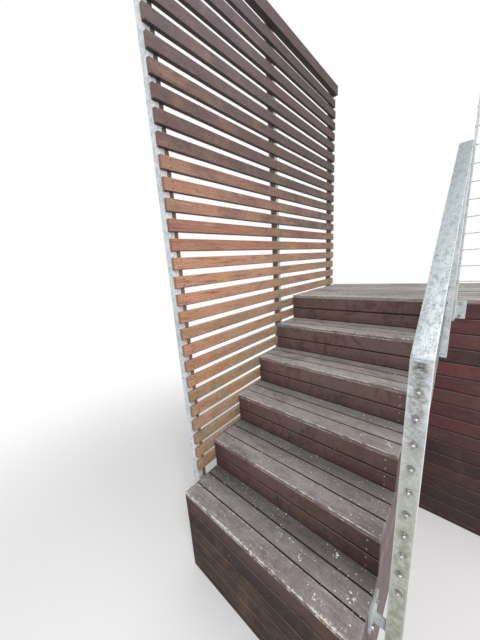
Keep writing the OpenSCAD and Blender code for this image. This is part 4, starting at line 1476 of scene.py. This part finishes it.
class DECK_STAIRS_OT_carcass(bpy.types.Operator):
    """Make the stringers, joists, bearers, posts and studs"""
    bl_idname = "deck_stairs.carcass"
    bl_label = "Carcass"

    def execute(self, context):
        timbers = {
            "stringer_left": "sawn_y", "stringer_mid": "sawn_y", "stringer_right": "sawn_y",
            "side_studs": "sawn_z", "foot_bearer": "sawn_x", "foot_posts": "sawn_z",
            "landing_joists": "sawn_y", "rim_joist": "sawn_x", "ledger": "sawn_x",
            "landing_bearer": "sawn_x", "landing_posts": "sawn_z", "skirt_studs": "sawn_z",
        }
        for index, (node, grain) in enumerate(timbers.items()):
            softened("sawn_" + node, node, grain, "frame_timber", sizes().frame_arris,
                     seed=60 + index)
        return {"FINISHED"}


class DECK_STAIRS_OT_screen(bpy.types.Operator):
    """Make the screen's battens, top rail, studs and steel posts"""
    bl_idname = "deck_stairs.screen"
    bl_label = "Screen"

    def execute(self, context):
        size = sizes()
        boards("boards_of_screen", "screen_battens", "oiled_batten", "screen_timber",
               BATTEN_LOOPS, 80)
        softened("screen_rail", "screen_top_rail", "oiled_batten", "screen_timber",
                 size.frame_arris, segments=3, seed=81)
        softened("screen_uprights", "screen_studs", "dull_stud", "screen_timber", size.board_arris,
                 seed=82, reshape=slim_stud)
        for place in ("front", "mid", "rear"):
            softened("steel_" + place, "screen_post_" + place, "zinc_screen", "galvanised_steel",
                     size.steel_arris * 0.5, seed=83)
        return {"FINISHED"}


class DECK_STAIRS_OT_balustrade(bpy.types.Operator):
    """Make the steel posts, rails and brackets, with their welds"""
    bl_idname = "deck_stairs.balustrade"
    bl_label = "Balustrade"

    def execute(self, context):
        arris = sizes().steel_arris
        bars = {
            "stair_post": "zinc_post", "handrail": "zinc_rail", "upper_post": "zinc_plain",
            "deck_end_post": "zinc_plain", "deck_top_rail": "zinc_rail",
            "deck_far_post": "zinc_plain",
        }
        for index, (node, coat) in enumerate(bars.items()):
            kind = "flat_bar_" if node.startswith("deck_") else "channel_"
            softened(kind + node, node, coat, "galvanised_steel", arris * 0.55, segments=3,
                     seed=90 + index)
        for node in ("stair_brackets", "deck_brackets"):
            softened("plates_of_" + node, node, "zinc_plain", "galvanised_steel", arris * 0.5,
                     seed=96)
        self.welds()
        return {"FINISHED"}

    def welds(self):
        """Beads where fins meet plates, flanges and bars, and along the knee's mitre."""
        seams = []
        for node, out in (("stair_brackets", 0), ("deck_brackets", 1)):
            along = 1 - out
            bm = merged(node)
            for points in islands(bm):
                low, high = corners(points)
                tip = low[1] if out else high[0]
                plate = high[1] - PLATE_THICK if out else low[0] + PLATE_THICK
                fin_low, fin_high = corners([
                    point for point in points if abs(point.co[out] - tip) < 1e-4])
                for seat in (plate, tip):
                    for edge in (fin_low[along], fin_high[along]):
                        start = pointing(2, fin_low.z)
                        start[out], start[along] = seat, edge
                        seams.append((start, start + pointing(2, fin_high.z - fin_low.z)))
            bm.free()
        low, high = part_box("stair_post")
        inset = CHANNEL_THICK * 0.3
        front = low.y + inset
        seams.append(((low.x + inset, front, high.z), (high.x - inset, front, high.z)))
        points = [place for seam in seams for place in seam]
        mesh = bpy.data.meshes.new("seams")
        mesh.from_pydata(points, [(2 * i, 2 * i + 1) for i in range(len(seams))], [])
        obj = grown("weld_beads", once("weld_beads_on_seams", make_weld_tree), mesh,
                    Radius=sizes().weld_bead, Finish=finish("zinc_plain"))
        settle(obj, "galvanised_steel")


class DECK_STAIRS_OT_wires(bpy.types.Operator):
    """String the wires and fit their nuts and hole rims"""
    bl_idname = "deck_stairs.wires"
    bl_label = "Wires and nuts"

    def execute(self, context):
        self.strung("strands_of_stair", "stair_wires", 1)
        self.strung("strands_of_deck", "deck_wires", 0)
        self.nuts()
        self.rims()
        return {"FINISHED"}

    def ends(self, node, axis):
        """Both ends of the highest wire, and the step down to the next."""
        rows = sorted(solids(node), key=lambda box: -box[1].z)
        low, high = rows[0]
        thick = (high - low)[1 - axis]
        start = (low + high) / 2
        end = start.copy()
        start[axis], end[axis] = low[axis], high[axis]
        if axis == 1:
            rise = thick / 2 * math.sqrt(1 + SLOPE * SLOPE)
            start.z, end.z = low.z + rise, high.z - rise
        return start, end, pointing(2, rows[1][1].z - high.z), len(rows), thick

    def strung(self, name, node, axis):
        start, end, step, count, thick = self.ends(node, axis)
        marks = bpy.data.meshes.new(name + "_marks")
        obj = grown(name, once("stranded_wires", make_wire_tree), marks,
                    Start=start, End=end, Step=step, Count=count, Width=thick,
                    Lay=sizes().wire_lay, Rings=WIRE_RINGS, Finish=finish("stainless"))
        settle(obj, "fixings", node)

    def nuts(self):
        marks = {0: [], 1: []}
        middle = {0: middle_of("deck_wires", 0), 1: middle_of("stair_wires", 1)}
        for low, high in solids("wire_nuts"):
            size = high - low
            axis = 0 if size.x < size.y else 1
            outwards = (low[axis] + high[axis]) / 2 > middle[axis]
            place = (low + high) / 2
            place[axis] = low[axis] if outwards else high[axis]
            marks[axis].append((place, pointing(axis, 1.0 if outwards else -1.0)))
        low, high = solids("wire_nuts")[0]
        flat = {"Washer_Thick": 0.0008, "Nut": 0.005, "Nut_Height": 0.0005}
        for name, axis, shape in (("domed_nuts", 1, {}), ("low_nuts", 0, flat)):
            obj = grown(name, once("domed_nuts_on_marks", make_nut_tree),
                        aimed_marks(name + "_marks", marks[axis]), Washer=high.z - low.z,
                        Seed=sizes().seed, Finish=finish("stainless"), **shape)
            note_facing(obj.data)
            smoothed(obj)
            settle(obj, "fixings", "wire_nuts")

    def rims(self):
        marks = []
        for node, axis in (("stair_wires", 1), ("deck_wires", 0)):
            start, end, step, count, _ = self.ends(node, axis)
            for index in range(count):
                for place, side in ((start, 1.0), (end, -1.0)):
                    marks.append((place + step * index, pointing(axis, side)))
        obj = grown("hole_rims", once("hole_rims_on_marks", make_eye_tree),
                    aimed_marks("rim_marks", marks), Finish=finish("wire_hole"))
        settle(obj, "fixings")


class DECK_STAIRS_OT_fixings(bpy.types.Operator):
    """Drive the deck screws and fit the bolts"""
    bl_idname = "deck_stairs.fixings"
    bl_label = "Screws and bolts"

    def execute(self, context):
        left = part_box("tread_1")[0].x + FIRST_LINE
        strings = [left, middle_of("stringer_mid", 0), middle_of("stringer_right", 0)]
        joists = [left] + middles(solids("landing_joists"), 0)[1:]
        on_treads = []
        for node in TREADS:
            on_treads += pair_marks(solids(node), TOP_FACE, strings)
        screws("tread_screws", on_treads, 1)
        for side, lines, coat in (("left", strings[:2], "rusty_screw"),
                                  ("right", strings[2:], "screw_steel")):
            on_risers = []
            for node in RISERS:
                on_risers += pair_marks(solids(node), FRONT_FACE, lines)
            screws(side + "_riser_screws", on_risers, 2, coat)
        screws("landing_screws", pair_marks(solids("landing_boards"), TOP_FACE, joists), 3)
        backs = middles(solids("landing_posts") + solids("skirt_studs"), 0)
        screws("skirt_screws", pair_marks(solids("skirt_boards"), FRONT_FACE, backs), 4,
               "rusty_screw")
        studs = middles([slim_stud(low, high) for low, high in solids("screen_studs")], 1)
        screws("batten_screws", pair_marks(solids("screen_battens"), BATTEN_FACE, studs), 5,
               "dull_screw")
        smoothed(softened("bolt_heads", "bolts", "screw_steel", "fixings", 0.0006, seed=99))
        return {"FINISHED"}


class DECK_STAIRS_OT_litter(bpy.types.Operator):
    """Scatter leaf crumbs in the corners and dried splashes on the treads"""
    bl_idname = "deck_stairs.litter"
    bl_label = "Crumbs and splashes"

    def execute(self, context):
        self.crumbs()
        self.splashes()
        return {"FINISHED"}

    def crumbs(self):
        """Strips along the backs and left ends of the treads catch the most."""
        points, faces = [], []
        lifted, end_strip = 0.0004, 0.1
        for node in TREADS:
            for low, high in solids(node)[1:]:
                back = high.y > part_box(node)[1].y - 0.001
                strips = [(low.x + 0.01, low.y + 0.006, low.x + end_strip, high.y - 0.006)]
                if back:
                    strips.append(
                        (low.x + end_strip, high.y - 0.05, high.x - 0.3, high.y - 0.022))
                for left, fore, right, rear in strips:
                    start = len(points)
                    for x, y in ((left, fore), (right, fore), (right, rear), (left, rear)):
                        points.append(Vector((x, y, high.z)) + pointing(2, lifted))
                    faces.append(tuple(range(start, start + 4)))
        mesh = bpy.data.meshes.new("crumb_ground")
        mesh.from_pydata(points, [], faces)
        size = sizes()
        obj = grown("crumbs_on_treads", once("crumbs_on_ground", make_crumb_tree), mesh,
                    Density=size.crumb_density, Seed=size.seed + 9, Finish=finish("leaf_crumbs"))
        settle(obj, "walk_boards")

    def splashes(self):
        """Each splash is a handful of drops round one place, given as shares of its tread."""
        drops = []
        for node, along, across, reach, count in SPLASHES:
            low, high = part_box(node)
            size = high - low
            middle = Vector((low.x + along * size.x, low.y + across * size.y, high.z))
            for index in range(count):
                turn = math.tau * spread(index + 3, count * 7 + along * 10)
                off = reach * math.sqrt(spread(index + 11, along * 31 + across))
                place = middle + Vector((off * math.cos(turn), off * math.sin(turn), 0))
                drops.append((place, 0.003 + 0.007 * spread(index + 5, off * 900)))
        mesh = marked("splash_marks", [place for place, width in drops],
                      width=[width for place, width in drops])
        obj = grown("splashes_on_treads", once("splashes_on_marks", make_splash_tree), mesh,
                    Seed=sizes().seed, Finish=finish("dried_splash"))
        settle(obj, "walk_boards")


class DECK_STAIRS_PT_panel(bpy.types.Panel):
    """Lists the steps that build the deck stairs"""
    bl_idname = "DECK_STAIRS_PT_panel"
    bl_label = "Deck stairs"
    bl_space_type = "VIEW_3D"
    bl_region_type = "UI"
    bl_category = "Deck stairs"

    def draw(self, context):
        layout = self.layout
        for step in STEPS:
            layout.operator(step.bl_idname)
        for group in (context.scene.deck_stair_sizes, context.scene.deck_stair_colours,
                      context.scene.deck_stair_stage):
            box = layout.box()
            for key in group.bl_rna.properties.keys():
                if key not in ("rna_type", "name"):
                    box.prop(group, key)


STEPS = (
    DECK_STAIRS_OT_stage, DECK_STAIRS_OT_treads, DECK_STAIRS_OT_risers, DECK_STAIRS_OT_landing,
    DECK_STAIRS_OT_sides, DECK_STAIRS_OT_carcass, DECK_STAIRS_OT_screen,
    DECK_STAIRS_OT_balustrade, DECK_STAIRS_OT_wires, DECK_STAIRS_OT_fixings, DECK_STAIRS_OT_litter,
)
CLASSES = (DeckStairSizes, DeckStairColours, DeckStairStage) + STEPS + (DECK_STAIRS_PT_panel,)


def register():
    for cls in CLASSES:
        bpy.utils.register_class(cls)
    bpy.types.Scene.deck_stair_sizes = PointerProperty(type=DeckStairSizes)
    bpy.types.Scene.deck_stair_colours = PointerProperty(type=DeckStairColours)
    bpy.types.Scene.deck_stair_stage = PointerProperty(type=DeckStairStage)


def unregister():
    del bpy.types.Scene.deck_stair_stage
    del bpy.types.Scene.deck_stair_colours
    del bpy.types.Scene.deck_stair_sizes
    for cls in reversed(CLASSES):
        bpy.utils.unregister_class(cls)


def main():
    register()
    bpy.ops.deck_stairs.stage()
    bpy.ops.deck_stairs.treads()
    bpy.ops.deck_stairs.risers()
    bpy.ops.deck_stairs.landing()
    bpy.ops.deck_stairs.sides()
    bpy.ops.deck_stairs.carcass()
    bpy.ops.deck_stairs.screen()
    bpy.ops.deck_stairs.balustrade()
    bpy.ops.deck_stairs.wires()
    bpy.ops.deck_stairs.fixings()
    bpy.ops.deck_stairs.litter()


if __name__ == "__main__":
    main()
